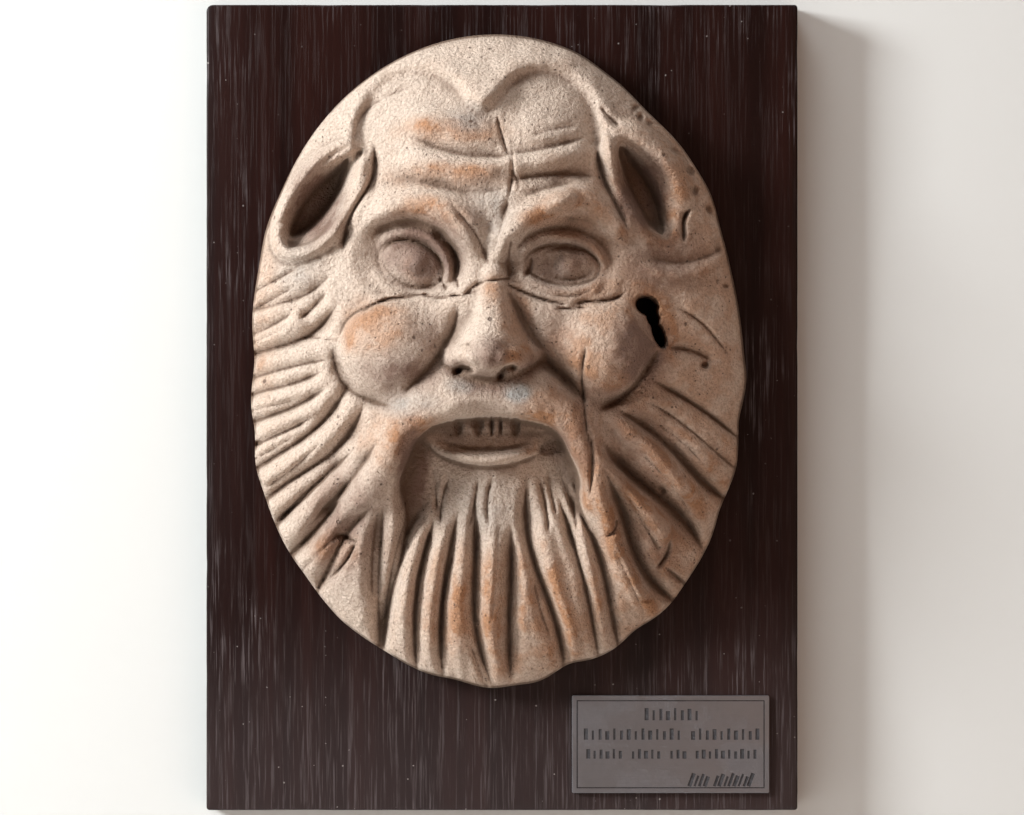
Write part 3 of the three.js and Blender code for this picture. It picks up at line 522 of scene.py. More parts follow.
RIGHT_LOCKS = [
    [57, -15, 99, -46, 1.5, 0.5, 6.5, -3],
    [46, -19, 98, -60, 1, 1.5, 7, -4.8],
    [41, -31, 84, -79, 1.5, -2, 7.6, -5.6],
    [40, -39, 77, -101, -6, 2.5, 7.6, -5.4],
    [60, -7, 100, -33.5, 1.5, 0, 4, -2.6],
    [66.5, 5, 88, -2, 2.5, 0, 5.1, -2.2],
    [47.5, -62.5, 43, -71, 2, 0, 2.4, -2],
    [69.5, -71, 63.5, -84, 1.5, 0, 2.4, -2.6],
    [66, -82, 86.8, -99.9, 0, 0, 3, -2],
    [55, -14, 95, -44, 2.5, 1, 5.5, 2],
    [43, -24, 82, -58, 4, 1.6, 8, 3],
    [40.5, -37, 70, -79, 1.5, -2, 7, 2.8],
    [38, -46, 66, -106, -2.5, 1.5, 7, 2.4],
    [62, -24, 84, -43, 1, 0, 2.4, -1],
    [56, -36, 79, -64, 1.5, 0, 2.2, -0.8],
    [50, -52, 66, -78, 0, 0, 2.2, -0.8],
    [46, -74, 60, -104, 0, 0, 2.4, -1],
]
CHIN_LOCKS = [
    [-47.5, -58, -50.5, -99, -1.5, 0, 6, -3.4],
    [-34.5, -57, -48.2, -126.8, -1, 1, 6, -4.6],
    [-24, -59, -32.5, -131, -4.5, 0, 5.4, -4.8],
    [-15.2, -57, -22, -133, -3.5, 0.3, 5.1, -4.4],
    [-9.6, -53, -1, -135, -4.2, 1.5, 5.6, -5.8],
    [5, -64, 5.5, -132, -0.5, 0.5, 6.4, -6.6],
    [12, -44, 27.5, -132, -2.7, -2.6, 6.2, -5.8],
    [14, -86, 22, -114, -1, 0, 4, -2.6],
    [22.5, -50, 41.5, -126, 2.3, 0, 4.8, -4.4],
    [27, -51, 50.5, -123, 4, 1, 5.8, -5.2],
    [-29, -63, -37.5, -125, -3, 0, 5, 1.6],
    [-19, -64, -27, -128, -3.5, 0, 4.6, 1.6],
    [-12, -64, -14, -131, -3, 0.5, 5, 1.6],
    [-1.5, -62, 2, -128, -3, 1, 5, 1.8],
    [18, -60, 33.6, -128.6, -1, -1, 5, 1.8],
    [-26, -66, -33.5, -116, -3, 0, 2.2, -1],
    [-17, -74, -22.5, -121, -2.5, 0, 2.4, -1.6],
    [-12, -112, -3, -137, 0, 0, 2.4, -1.6],
    [0, -66, -3, -108, 1, 0, 2.2, -1],
    [-28.6, -42, -25, -63, 1.7, 0, 2.6, -2.1],
    [-19, -46, -23, -68, -1.6, 0, 2.5, -1.9],
    [-8, -47, -12, -69, 0.6, 0, 2.4, -1.6],
    [-2, -46, -3.5, -68, -1.5, 0, 2.5, -1.6],
    [16.5, -47, 20.5, -71, 0.7, 0, 2.6, -2.1],
    [20, -43, 24, -64, -0.5, 0, 2.4, -2.1],
    [25, -46, 32, -72, 1.7, 0, 2.6, -2.4],
    [30, -45, 37, -72, -0.5, 0, 2.4, -1.9],
]
LEFT_FIRMNESS, RIGHT_FIRMNESS, CHIN_FIRMNESS = 1.6, 1.8, 1.35


for rows, firmness in (
    (LEFT_LOCKS, LEFT_FIRMNESS),
    (RIGHT_LOCKS, RIGHT_FIRMNESS),
    (CHIN_LOCKS, CHIN_FIRMNESS),
):
    draw_all(clay, rows, firmness)
print(len(LEFT_LOCKS) + len(RIGHT_LOCKS) + len(CHIN_LOCKS), "strokes make the locks")

# %% [markdown]
# ## Ears
# The horse ears lie flat against the head. Each is a long hollow, a wide shallow dish with a deeper one in
# it, with a roll round it and a cut that parts it from the temple.

# %% Ears
EARS = [
    [-50, 88.5, -62, 43, 1.5, 2.4, 4.4, -7],
    [-53.5, 86.5, -73.5, 43.5, 3.5, 0, 4, 2],
    [42, 93.5, 59.5, 50, -1, -1, 4.8, 5],
    [39.5, 85, 53, 50, -1.5, -0.5, 3.6, -6],
    [42, 95, 79, 58, 9, 1, 7.5, 5],
    [40.5, 103, 50, 93, -0.5, 0, 2.6, -2.6],
    [55, 97.5, 82, 71, 4, 0, 2.6, -1.8],
    [78.5, 62, 74.5, 47, -2, -0.6, 1.9, -5],
    [57, 43, 93, 47, -5.5, 0, 6.5, -2.2],
    [56, 37.5, 93, 43, -6, 0, 5, 1.8],
]
EAR_RIMS = [
    [-70, 65, 26.5, 12.8, 53, 5, 355, 5, 5.5],
    [59, 69, 24, 12, -65, 150, 350, 6, 2.6],
]
EAR_DISHES = [
    ((-69.5, 65), 25, 11.5, 53, 0.2, 12),
    ((-72, 66), 20, 8, 53, 0.2, 13),
    ((59, 68.5), 22, 12.5, -65, 0, 9),
    ((57.6, 68.5), 20, 8, -64, 0, 16),
]


def model_ears(clay):
    """The dishes of the ears, then the rolls round them and the cuts beside them."""
    for *shape, depth in EAR_DISHES:
        clay["h"] = clay["h"] - depth * dish(clay["u"], clay["v"], *shape)
    sweep_all(clay, EAR_RIMS)
    draw_all(clay, EARS)


model_ears(clay)
print(f"the floor of the left ear is {height_at(clay, *EAR_DISHES[0][0]):.1f} mm high")

# %% [markdown]
# ## Cracks and holes
# The clay has cracked in drying and firing: one crack runs across the nose and both cheeks, one down the
# forehead and one down the right cheek. The rim has lost small chips. Beside the right cheek a ragged hole
# goes right through. Before the damage is cut, the rest is kept clear of the hollow behind the face.
# Last, everything is held under one quarter round, so the rim stays even all the way along.

# %% Cracks and holes
CRACKS = [
    [-64, 8, -47, 23.5, 3.5, 0.5, 1.8, -2.4],
    [-50, 22, -31, 26.3, 0.5, 0.3, 2, -3],
    [-33, 26.3, -13.5, 26.5, -1.4, 0, 1.8, -2.2],
    [-15, 24.5, 3, 32, 2.6, 0, 1.5, -2],
    [0.5, 32, 31, 21.3, -1.6, 0, 1.9, -2.8],
    [28, 21.3, 52, 28, -1.2, 1, 2, -2.8],
    [-0.5, 99, 4.5, 81, -0.5, 0, 1.5, -2],
    [5.5, 84.5, 4, 63.5, 1, 0, 1.6, -2],
    [5, 76, 9, 68, 0.5, 0, 1.4, -1.4],
    [35.3, 6, 34.5, -17, -1.4, 0, 1.8, -2.6],
    [34, -10, 36.8, -36, -0.6, 0, 2, -3],
    [36.6, -27, 36.8, -55.5, 1, 0, 2, -3],
    [26, -5.5, 35.5, -17, 0.6, 0, 1.5, -1.6],
    [-56, 17.5, -40, 25, 1.5, 0, 1.6, -2],
    [-40, 26.4, -26, 26.2, 0, 0, 1.6, -1.8],
    [-20, 25.4, -8, 27.8, -0.6, 0, 1.5, -1.8],
    [-4, 30.6, 8, 31, 1.4, 0, 1.6, -2],
    [22, 20.8, 38, 21.8, -0.6, 0, 1.7, -2.2],
    [39.5, -21, 65, 6, -4, 0, 1.8, -2.4],
    [70.5, 21.5, 94.5, 0.5, 2.5, 0.5, 1.7, -2],
    [-82, 8, -63, 8, 1, 0.5, 1.4, -1.4],
    [-67, -73, -56, -72.5, 2, 1, 2, -3],
    [-68, -88, -56, -70.5, -1.5, 0, 2, -3],
    [-12, 96, -6, 92, 0.5, 0, 1.2, -1],
]
HOLES = [((59.8, 22), (5.4, 4.2), -25), ((62.2, 17.4), (2.8, 4.6), 15), ((64.6, 10.2), (2.5, 6.4), 22)]
HOLE_DEPTH, THINNEST_FLOOR = 34, 2
CHIPS = [
    ((55.5, 102), (2.6, 1.6), 40, 1, -1.8),
    ((57.5, 98), (1.6, 2.4), 10, 1, -2.2),
    ((61, 96), (2.2, 1.4), -40, 1, -1.6),
    ((71.5, 84.5), (3.4, 1.8), -40, 1, -2.4),
    ((77.5, 76.5), (3.2, 2), -50, 1, -2.6),
    ((79.5, 68.5), (2, 3), 10, 1, -2),
    ((85.4, 61), (3, 1.8), -60, 1, -2.4),
    ((89, 46), (2.2, 3), 0, 1, -1.8),
    ((83.4, -2), (2.2, 2), 0, 1, -3.4),
    ((92, 30), (2, 1.6), 0, 1, -1.6),
    ((-88, 55), (2.4, 1.5), 50, 1, -1.6),
    ((-97, -33), (2, 1.6), 0, 1, -1.8),
    ((66, -52), (2.6, 1.8), -30, 1, -2.4),
    ((60, -96), (3, 2), 40, 1, -2),
]
LUMP = ((-68.2, -77.5), (10, 9), 30, 1.5, 3.4)


def model_damage(clay):
    """The cracks, the holes that meet in one, the chips of the rim and the lump low on the left."""
    u, v = clay["u"], clay["v"]
    draw_all(clay, CRACKS)
    for middle, size, turn in HOLES:
        clay["h"] -= HOLE_DEPTH * smooth(0, 0.7, mound(u, v, middle, size, turn, 1))
    swell(clay, [*CHIPS, LUMP])


def keep_a_wall(clay):
    """Keep the thinnest wall, measured straight down, between the cuts so far and the hollow."""
    half_sizes = (HALF_WIDTH - HOLLOW_MARGIN, HALF_HEIGHT - HOLLOW_MARGIN)
    q = np.clip(reach(clay["u"], clay["v"], (0, 0), half_sizes), 0, 1)
    clay["h"] = blend_max(clay["h"], THINNEST_WALL + HOLLOW_RISE * np.sqrt(1 - q * q), 1.5)


def round_the_rim(clay):
    """Let nothing stand above a quarter round that rises from the rim, or lie below the thinnest floor."""
    inwards = 1 - clay["out"]
    steepest = RIM_HEIGHT + ROUNDNESS * np.sqrt(np.clip(2 * inwards - inwards**2, 0, None))
    clay["h"] = -blend_max(-np.clip(clay["h"], THINNEST_FLOOR, None), -steepest, 1.5)


keep_a_wall(clay)
model_damage(clay)
round_the_rim(clay)
print(f"the bottom of the hole is {height_at(clay, *HOLES[0][0]):.1f} mm above the board")

# %% [markdown]
# ## From heights to a mesh
# Fingers never leave clay quite even, so noise at a few sizes raises and sinks the slab a little. The same
# grid of heights also says how deep each place lies below what is round it. Dust with painted shade in the
# hollows and creases, and the firing colour, follow that number, so it is kept on the mesh as an attribute
# that the material can read.

# %% The uneven surface, its creases and its hollows
LUMPS = [(24.0, 0.9), (9.0, 0.6), (3.5, 0.35), (1.8, 0.16)]
CREASE_WINDOW, CREASE_DEPTH = 3, 0.9
HOLLOW_WINDOW, HOLLOW_DEPTH = 14, 5.0


def roughen(clay):
    """Low lumps at a few sizes; each row of LUMPS is (size, height) in millimetres."""
    for size, height in LUMPS:
        places = zip(clay["u"].flat, clay["v"].flat)
        lumps = np.array([noise.noise(Vector((u / size, v / size, size))) for u, v in places])
        clay["h"] += height * lumps.reshape(clay["h"].shape)


def blurred(heights, reach_in_cells):
    """The mean height round each place, over a soft square window."""
    window = np.hanning(2 * reach_in_cells + 3)[1:-1]
    window /= window.sum()
    padded = np.pad(heights, reach_in_cells, mode="edge")
    rows = np.apply_along_axis(np.convolve, 0, padded, window, "valid")
    return np.apply_along_axis(np.convolve, 1, rows, window, "valid")


def sunkenness(heights, window, depth):
    """How far each place lies below the mean round it: 1 at depth or more, and -1 as far above it."""
    return np.clip((blurred(heights, window) - heights) / depth, -1, 1)


roughen(clay)
clay["crease"] = sunkenness(clay["h"], CREASE_WINDOW, CREASE_DEPTH)
clay["hollow"] = sunkenness(clay["h"], HOLLOW_WINDOW, HOLLOW_DEPTH)
print(f"with its uneven surface the nose stands {clay['h'].max():.1f} mm above the board")

# %% [markdown]
# ## Where the firing and the dust left their colours, and where shade is painted
# The kiln turned some places orange and others brown, and pale ash lies on a few. Much of the brown, and the
# orange over the right side, is painted shade: in the eye sockets, under the brows and the nose, in the
# mouth's corners, in the ears and over the whole right side, which lies away from the window lamp. These are
# broad soft patches at places that a person would name, so ellipses hold them: right, up, half width, half
# height and strength. Above a strength of 1 a patch has a flat middle.

# %% Patches of colour
# Orange of the firing. The rows on the right side, above all the whole right side, are painted shade as well:
# that side lies away from the window lamp.
WARM_PATCHES = [
    ("forehead, left", -20, 92, 32, 9, 1.3),
    ("forehead roll", -18, 73, 36, 8, 1.1),
    ("brow, left", -22, 58, 24, 12, 1.0),
    ("brow, right", 30, 56, 26, 11, 1.6),
    ("iris, left", -32, 37, 9, 8, 1.4),
    ("iris, right", 30, 40, 8, 7, 1.0),
    ("cheek, left", -50, 13, 22, 16, 1.4),
    ("nose", 7, 12, 10, 24, 1.3),
    ("nose bridge", -3, 28, 8, 10, 0.8),
    ("cheek, right", 45, 10, 30, 24, 1.6),
    ("locks, right", 64, -42, 42, 52, 1.4),
    ("temple, right", 82, 50, 40, 62, 1.3),
    # Painted shade over the right side, with the firing's orange.
    ("whole right side", 84, -10, 76, 150, 2.2),
    ("rim, lower right", 64, -85, 44, 46, 1.3),
    ("beard, lower middle", 8, -100, 56, 40, 1.4),
    ("forehead, right", 34, 62, 30, 30, 0.6),
    ("lump, lower left", -66, -76, 16, 12, 1.0),
    ("moustache, right", 27, -26, 26, 22, 1.8),
    ("cheek, right, inner", 27, 4, 12, 26, 1.1),
    ("moustache, left", -40, -30, 24, 18, 1.1),
    ("rim, left", -96, 20, 12, 50, 0.7),
]
ASH_PATCHES = [
    ("between the brows", -4, 60, 14, 22, 0.6),
    ("above the lip", 8, -13, 8, 6, 1.6),
    ("above the lip, left", -15, -10, 8, 5, 1.2),
    ("under the lip", -6, -60, 26, 22, 0.45),
    ("left of the peak", -12, 96, 14, 10, 0.7),
    ("under the left cheek", -36, -18, 18, 8, 0.7),
    ("eye socket, left", -30, 36, 20, 14, 0.15),
    ("eye socket, right", 26, 40, 24, 16, 0.2),
    ("below the left ear", -80, 36, 16, 14, 0.5),
]
# Most of this brown is painted shade: in the eye sockets, under the brows and the nose, beside the nose
# wings, in the mouth's corners, in the ears and over the shaded right side. The brown on the tip of the nose
# is the clay's own.
UMBER_AND_SHADE_PATCHES = [
    ("eye socket, left", -30, 44, 26, 20, 1.8),
    ("eye socket, right", 25, 39, 30, 21, 0.8),
    ("cheek, left, inner", -28, 6, 15, 20, 0.7),
    ("tip of the nose", -3, 2.5, 11, 10, 1.4),
    ("under the nose", -3, -10, 24, 9, 1.2),
    ("brow, left, below", -33, 53, 22, 8, 1.0),
    ("cheek, left, lower", -38, -5, 28, 14, 1.1),
    ("nose, left wing", -17, -4, 9, 7, 1.1),
    ("nose, right wing", 12, -3, 9, 8, 1.1),
    ("moustache, middle", -2, -17, 30, 7, 0.5),
    ("mouth", -3, -28, 34, 8, 0.25),
    ("mouth, left corner", -34, -44, 9, 26, 2.4),
    ("mouth, right corner", 25, -34, 9, 14, 1.2),
    ("beside the ear, right", 66, 40, 30, 22, 0.9),
    ("cheek, right, inner", 22, 8, 14, 28, 0.5),
    ("cheek, right, outer", 57, 4, 18, 24, 1.6),
    ("cheek, right, below", 40, -16, 30, 12, 0.8),
    ("moustache, right", 34, -34, 14, 26, 0.7),
    ("locks, right", 54, -34, 32, 36, 0.6),
    ("ear, left", -73, 63, 16, 24, 1.8),
    ("ear, right", 58, 67, 15, 24, 2.0),
    ("beard, left", -60, -66, 30, 40, 0.9),
    ("rim, lower right", 62, -72, 26, 30, 0.5),
]


def patches(clay, rows):
    """The strongest patch at each place, from 0 to 1."""
    shade = np.zeros(clay["u"].shape)
    for _name, right, up, half_width, half_height, strength in rows:
        patch = mound(clay["u"], clay["v"], (right, up), (half_width, half_height))
        shade = np.maximum(shade, strength * patch)
    return shade


clay["warm"] = patches(clay, WARM_PATCHES)
clay["ash"] = patches(clay, ASH_PATCHES)
clay["umber"] = patches(clay, UMBER_AND_SHADE_PATCHES)
for name in ("warm", "ash", "umber"):
    print(f"{name} patches cover {(clay[name] > 0.1).mean():.0%} of the front")

# %% [markdown]
# ## The mask as one closed shell
# `create_grid` gives the slab with one face for each cell, and every vertex takes its place and its five
# numbers from the clay. The border is extruded down to the board in two steps, so the side is a little
# round, as pressed clay is, and the flat back closes it.

# %% The mask's front, side and back
SIDE_RINGS = [(5.0, 0.7), (0.0, -1.4)]
FRONT_NUMBERS = ("crease", "hollow", "warm", "ash", "umber")


def mask_front(clay):
    """The grid, with each vertex at its place in the clay and its five numbers in named layers."""
    bm = bmesh.new()
    bmesh.ops.create_grid(bm, x_segments=CELLS, y_segments=CELLS, size=1.0)
    layers = {name: bm.verts.layers.float.new(name) for name in FRONT_NUMBERS}
    for vert in bm.verts:
        at = round((vert.co.y + 1) / 2 * CELLS), round((vert.co.x + 1) / 2 * CELLS)
        for name, layer in layers.items():
            vert[layer] = clay[name][at]
        vert.co = clay["u"][at], clay["v"][at], clay["h"][at]
    return bm


def close_the_back(bm):
    """Extrude the border to each (height, mm outwards) in turn and fill what is left."""
    for height, outwards in SIDE_RINGS:
        border = [edge for edge in bm.edges if edge.is_boundary]
        made = bmesh.ops.extrude_edge_only(bm, edges=border)["geom"]
        for vert in (item for item in made if isinstance(item, bmesh.types.BMVert)):
            away = vert.co.xy.length
            vert.co = (*(vert.co.xy * (1 + outwards / away)), height)
    bmesh.ops.edgeloop_fill(bm, edges=[edge for edge in bm.edges if edge.is_boundary])
    bmesh.ops.recalc_face_normals(bm, faces=bm.faces)


mask_mesh = mask_front(clay)
close_the_back(mask_mesh)
stand_up(mask_mesh, MASK_MIDDLE, MASK_BACK)
mask = piece_from(mask_mesh, "clay_mask")
print(f"the mask has {len(mask.data.polygons)} faces")

# %% [markdown]
# ## The hollow behind the face
# Clay as thick as the nose would burst in the kiln, so such masks are hollow behind. A flat ellipsoid cuts
# the hollow out with a Boolean modifier, whose result replaces the mesh. The hole beside the cheek reaches
# it, so it goes right through and stays dark.

# %% The hollow
def cut(piece, cutter, crossing=False):
    """Take the cutter's shape out of the piece for good; crossing is for a cutter that runs into itself."""
    boolean = piece.modifiers.new("Cut", "BOOLEAN")
    boolean.operation = "DIFFERENCE"
    boolean.solver = "EXACT"
    boolean.use_self = crossing
    boolean.object = cutter
    graph = bpy.context.evaluated_depsgraph_get()
    result = bpy.data.meshes.new_from_object(piece.evaluated_get(graph))
    piece.modifiers.clear()
    piece.data = result
    bpy.data.objects.remove(cutter)


hollow_mesh = bmesh.new()
bmesh.ops.create_uvsphere(hollow_mesh, u_segments=64, v_segments=32, radius=1.0)
hollow_size = (HALF_WIDTH - HOLLOW_MARGIN, HALF_HEIGHT - HOLLOW_MARGIN, HOLLOW_RISE)
bmesh.ops.scale(hollow_mesh, vec=hollow_size, verts=hollow_mesh.verts)
stand_up(hollow_mesh, MASK_MIDDLE, MASK_BACK)
cut(mask, piece_from(hollow_mesh, "hollow"))
mask.data.shade_smooth()
mask.data.set_sharp_from_angle(angle=np.radians(80))
print(f"with its hollow the mask has {len(mask.data.polygons)} faces")

# %% [markdown]
# ## The board
# A plain plank, planed and eased along its edges, with one corner more worn than the others. It starts as
# a cube: the corners and the edges are bevelled, then planes slice it into cells, so that its edges have
# vertices that small knocks can push in.

# %% The board
EASING, CORNER, WORN_CORNER = 0.8, 1.2, 2.6
BOARD_CELL = 4.0
KNOCK_DEPTH, KNOCK_LENGTH, KNOCK_REACH = 0.55, 13.0, 3.0
KNOCK_THRESHOLD, KNOCK_SIDEWAYS = 0.1, 0.6


def bevel(bm, edges, offset, segments):
    """Round some edges, with the profile and the material that the bevel tool has in the editor."""
    bmesh.ops.bevel(
        bm, geom=edges, offset=offset, offset_type="OFFSET", affect="EDGES",
        segments=segments, profile=0.5, material=-1,
    )


def slice_up(bm, axis, half_length, cell):
    """Cut the mesh by planes across one axis, one cell apart."""
    across = Vector((axis == 0, axis == 1, 0))
    for place in np.arange(cell - half_length, half_length, cell):
        geom = bm.verts[:] + bm.edges[:] + bm.faces[:]
        bmesh.ops.bisect_plane(bm, geom=geom, plane_co=across * place, plane_no=across)


def knock(vert):
    """Push a vertex near the board's edge in, where the noise says that something hit it."""
    x, y, z = vert.co
    edge_distance = min(BOARD_WIDTH / 2 - abs(x), BOARD_HEIGHT / 2 - abs(y))
    hit = max(0.0, noise.noise(vert.co / KNOCK_LENGTH) - KNOCK_THRESHOLD) * KNOCK_DEPTH
    hit *= max(0.0, 1 - edge_distance / KNOCK_REACH)
    aside = hit * KNOCK_SIDEWAYS
    downwards = hit if z > BOARD_THICKNESS / 2 else 0
    vert.co = (x - np.sign(x) * aside, y - np.sign(y) * aside, z - downwards)


board_mesh = bmesh.new()
bmesh.ops.create_cube(board_mesh, size=1.0)
bmesh.ops.scale(board_mesh, vec=(BOARD_WIDTH, BOARD_HEIGHT, BOARD_THICKNESS), verts=board_mesh.verts)
bmesh.ops.translate(board_mesh, vec=(0, 0, BOARD_THICKNESS / 2), verts=board_mesh.verts)
for is_worn, radius in ((True, WORN_CORNER), (False, CORNER)):
    corners = [
        edge for edge in board_mesh.edges
        if abs(edge.verts[0].co.z - edge.verts[1].co.z) > 1
        and (edge.verts[0].co.x < 0 < edge.verts[0].co.y) == is_worn
    ]
    bevel(board_mesh, corners, radius, 4)
level = [edge for edge in board_mesh.edges if edge.verts[0].co.z == edge.verts[1].co.z]
bevel(board_mesh, level, EASING, 3)
slice_up(board_mesh, 0, BOARD_WIDTH / 2, BOARD_CELL)
slice_up(board_mesh, 1, BOARD_HEIGHT / 2, BOARD_CELL)
for vert in board_mesh.verts:
    knock(vert)
stand_up(board_mesh, (0, 0), 0)
board = piece_from(board_mesh, "wooden_board")
board.data.shade_smooth()
board.data.set_sharp_from_angle(angle=np.radians(30))
print(f"the board has {len(board.data.polygons)} faces")

# %% [markdown]
# ## The metal plate
# A thin sheet with a line engraved round it and rows of strokes where an inscription goes. The strokes are
# no letters: a loop sets short bars of two widths, grouped like words. One Boolean sinks them all, and the
# faces at the bottom of the cuts get a second, dark material, like the wax that fills a real engraving.

# %% The plate
PLATE_CORNER, PLATE_EASING = 0.6, 0.15
BORDER_INSET, LINE_WIDTH, LINE_DEPTH = 2.1, 0.45, 0.3
STROKE_WIDTHS = (1.6, 0.9, 1.2)
STROKE_HEIGHTS = (1.0, 0.82, 0.94, 0.76)
PLATE_ROWS = [
    (0.4, 12.2, 5.0, (8,), 2.9, 0.0),
    (0.4, 4.1, 4.6, (14, 10), 2.9, 0.0),
    (0.4, -3.9, 3.9, (6, 5, 3, 10), 2.6, 0.0),
    (20.5, -14.4, 5.6, (4, 8), 2.0, 0.35),
]


def bar(bm, x, y, width, height, lean=0.0):
    """One bar to sink into the plate's face."""
    size = Matrix.Diagonal((width, height, 2 * LINE_DEPTH, 1))
    place = Matrix.Translation((x, y, PLATE_THICKNESS)) @ Matrix.Rotation(-lean, 4, "Z")
    bmesh.ops.create_cube(bm, size=1.0, matrix=place @ size)


def stroke_row(bm, x, y, height, words, pitch, lean):
    """A row of bars in words, the row's middle at x, y."""
    places = sum(words) + len(words) - 1
    place = 0
    for word in words:
        for i in range(place, place + word):
            tall = height * STROKE_HEIGHTS[i % len(STROKE_HEIGHTS)]
            width = STROKE_WIDTHS[i % len(STROKE_WIDTHS)]
            bar(bm, x + (i - (places - 1) / 2) * pitch, y - (height - tall) / 2, width, tall, lean)
        place += word + 1


plate_mesh = bmesh.new()
bmesh.ops.create_cube(plate_mesh, size=1.0)
bmesh.ops.scale(plate_mesh, vec=(PLATE_WIDTH, PLATE_HEIGHT, PLATE_THICKNESS), verts=plate_mesh.verts)
bmesh.ops.translate(plate_mesh, vec=(0, 0, PLATE_THICKNESS / 2), verts=plate_mesh.verts)
uprights = [edge for edge in plate_mesh.edges if edge.verts[0].co.z != edge.verts[1].co.z]
bevel(plate_mesh, uprights, PLATE_CORNER, 4)
around_the_top = [edge for edge in plate_mesh.edges if min(v.co.z for v in edge.verts) > 0]
bevel(plate_mesh, around_the_top, PLATE_EASING, 2)
stand_up(plate_mesh, PLATE_MIDDLE, PLATE_BACK)
plate = piece_from(plate_mesh, "metal_plate")

engraving = bmesh.new()
line_x, line_y = PLATE_WIDTH / 2 - BORDER_INSET, PLATE_HEIGHT / 2 - BORDER_INSET
for side in (-1, 1):
    bar(engraving, 0, side * line_y, 2 * line_x + LINE_WIDTH, LINE_WIDTH)
    bar(engraving, side * line_x, 0, LINE_WIDTH, 2 * line_y)
for row in PLATE_ROWS:
    stroke_row(engraving, *row)
stand_up(engraving, PLATE_MIDDLE, PLATE_BACK)
cut(plate, piece_from(engraving, "engraving"), crossing=True)
print(f"the plate has {len(plate.data.polygons)} faces")

# %% [markdown]
# ## Shared effects
# Two effects appear in every finish here: soft cloudy patches, and small scattered spots. Each is a node
# group with named inputs, built once. `node` adds one node and fills its inputs, either with a value or
# with a link.

# %% Helpers for node trees
def node(tree, kind, inputs=(), **settings):
    """Add a node; inputs maps a socket's name or number to a value or to another node's output."""
    made = tree.nodes.new(kind)
    for name, value in settings.items():
        setattr(made, name, value)
    for name, value in dict(inputs).items():
        if isinstance(value, bpy.types.NodeSocket):
            tree.links.new(value, made.inputs[name])
        else:
            made.inputs[name].default_value = value
    return made


def calculate(tree, operation, a, b):
    """The result of a Math node, kept between 0 and 1."""
    return node(tree, "ShaderNodeMath", {0: a, 1: b}, operation=operation, use_clamp=True).outputs[0]


def fade(tree, value, low, high, to_low=0.0, to_high=1.0):
    """A value stretched from the range low..high to the range to_low..to_high, smoothly."""
    inputs = {"Value": value, "From Min": low, "From Max": high, "To Min": to_low, "To Max": to_high}
    return node(tree, "ShaderNodeMapRange", inputs, interpolation_type="SMOOTHSTEP").outputs["Result"]


def layered(tree, colour, layers):
    """Colours laid over the first one in turn; each layer is (share, colour)."""
    for share, over in layers:
        inputs = {0: share, 6: colour, 7: over}
        colour = node(tree, "ShaderNodeMix", inputs, data_type="RGBA", clamp_factor=True).outputs[2]
    return colour


def new_group(name, sockets):
    """An empty node group whose sockets are (name, kind, default) for inputs and (name, kind) for outputs."""
    tree = bpy.data.node_groups.new(name, "ShaderNodeTree")
    for socket_name, kind, *default in sockets:
        in_out = "INPUT" if default else "OUTPUT"
        socket = tree.interface.new_socket(socket_name, in_out=in_out, socket_type="NodeSocket" + kind)
        if default and default[0] is not None:
            socket.default_value = default[0]
    start, end = tree.nodes.new("NodeGroupInput"), tree.nodes.new("NodeGroupOutput")
    return tree, start.outputs, end.inputs


def use_group(tree, group, **inputs):
    """Place a group in a tree; its first output is what is wanted of it."""
    made = tree.nodes.new("ShaderNodeGroup")
    made.node_tree = group
    for name, value in inputs.items():
        socket = made.inputs[name.replace("_", " ")]
        if isinstance(value, bpy.types.NodeSocket):
            tree.links.new(value, socket)
        else:
            socket.default_value = value
    return made.outputs[0]


# %% The two effect groups
def cloudy_patches():
    """Soft clouds of noise, with a threshold from where they start to where they are full."""
    sockets = [
        ("Place", "Vector", None), ("Patches per metre", "Float", 20.0), ("From", "Float", 0.45),
        ("To", "Float", 0.6), ("Mask", "Float"),
    ]
    tree, given, wanted = new_group("Cloudy patches", sockets)
    clouds = node(tree, "ShaderNodeTexNoise", {
        "Vector": given["Place"], "Scale": given["Patches per metre"], "Detail": 5.0, "Roughness": 0.6,
    })
    tree.links.new(fade(tree, clouds.outputs["Fac"], given["From"], given["To"]), wanted["Mask"])
    return tree


SPOT_WOBBLE, WOBBLES_PER_METRE = 0.0007, 700.0


def scattered_spots():
    """Ragged round spots of mixed size, one in a share of the cells of a Voronoi texture."""
    sockets = [
        ("Place", "Vector", None), ("Spots per metre", "Float", 300.0), ("Share", "Float", 0.3),
        ("Radius", "Float", 0.3), ("Mask", "Float"),
    ]
    tree, given, wanted = new_group("Scattered spots", sockets)
    wobble = node(tree, "ShaderNodeTexNoise", {
        "Vector": given["Place"], "Scale": WOBBLES_PER_METRE, "Detail": 1.0,
    })
    ragged = node(tree, "ShaderNodeVectorMath", {
        0: wobble.outputs["Color"], 1: (SPOT_WOBBLE,) * 3, 2: given["Place"],
    }, operation="MULTIPLY_ADD")
    cells = node(tree, "ShaderNodeTexVoronoi", {
        "Vector": ragged.outputs[0], "Scale": given["Spots per metre"],
    })
    pick = node(tree, "ShaderNodeSeparateColor", {0: cells.outputs["Color"]}).outputs[0]
    chosen = calculate(tree, "LESS_THAN", pick, given["Share"])
    larger = fade(tree, calculate(tree, "DIVIDE", pick, given["Share"]), 0.0, 1.0, 1.0, 0.3)
    radius = calculate(tree, "MULTIPLY", given["Radius"], larger)
    near = calculate(tree, "DIVIDE", cells.outputs["Distance"], radius)
    spot = calculate(tree, "MULTIPLY", fade(tree, near, 1.0, 0.5), chosen)
    tree.links.new(spot, wanted["Mask"])
    return tree


PATCHES, SPOTS = cloudy_patches(), scattered_spots()
print("effect groups:", PATCHES.name, "and", SPOTS.name)

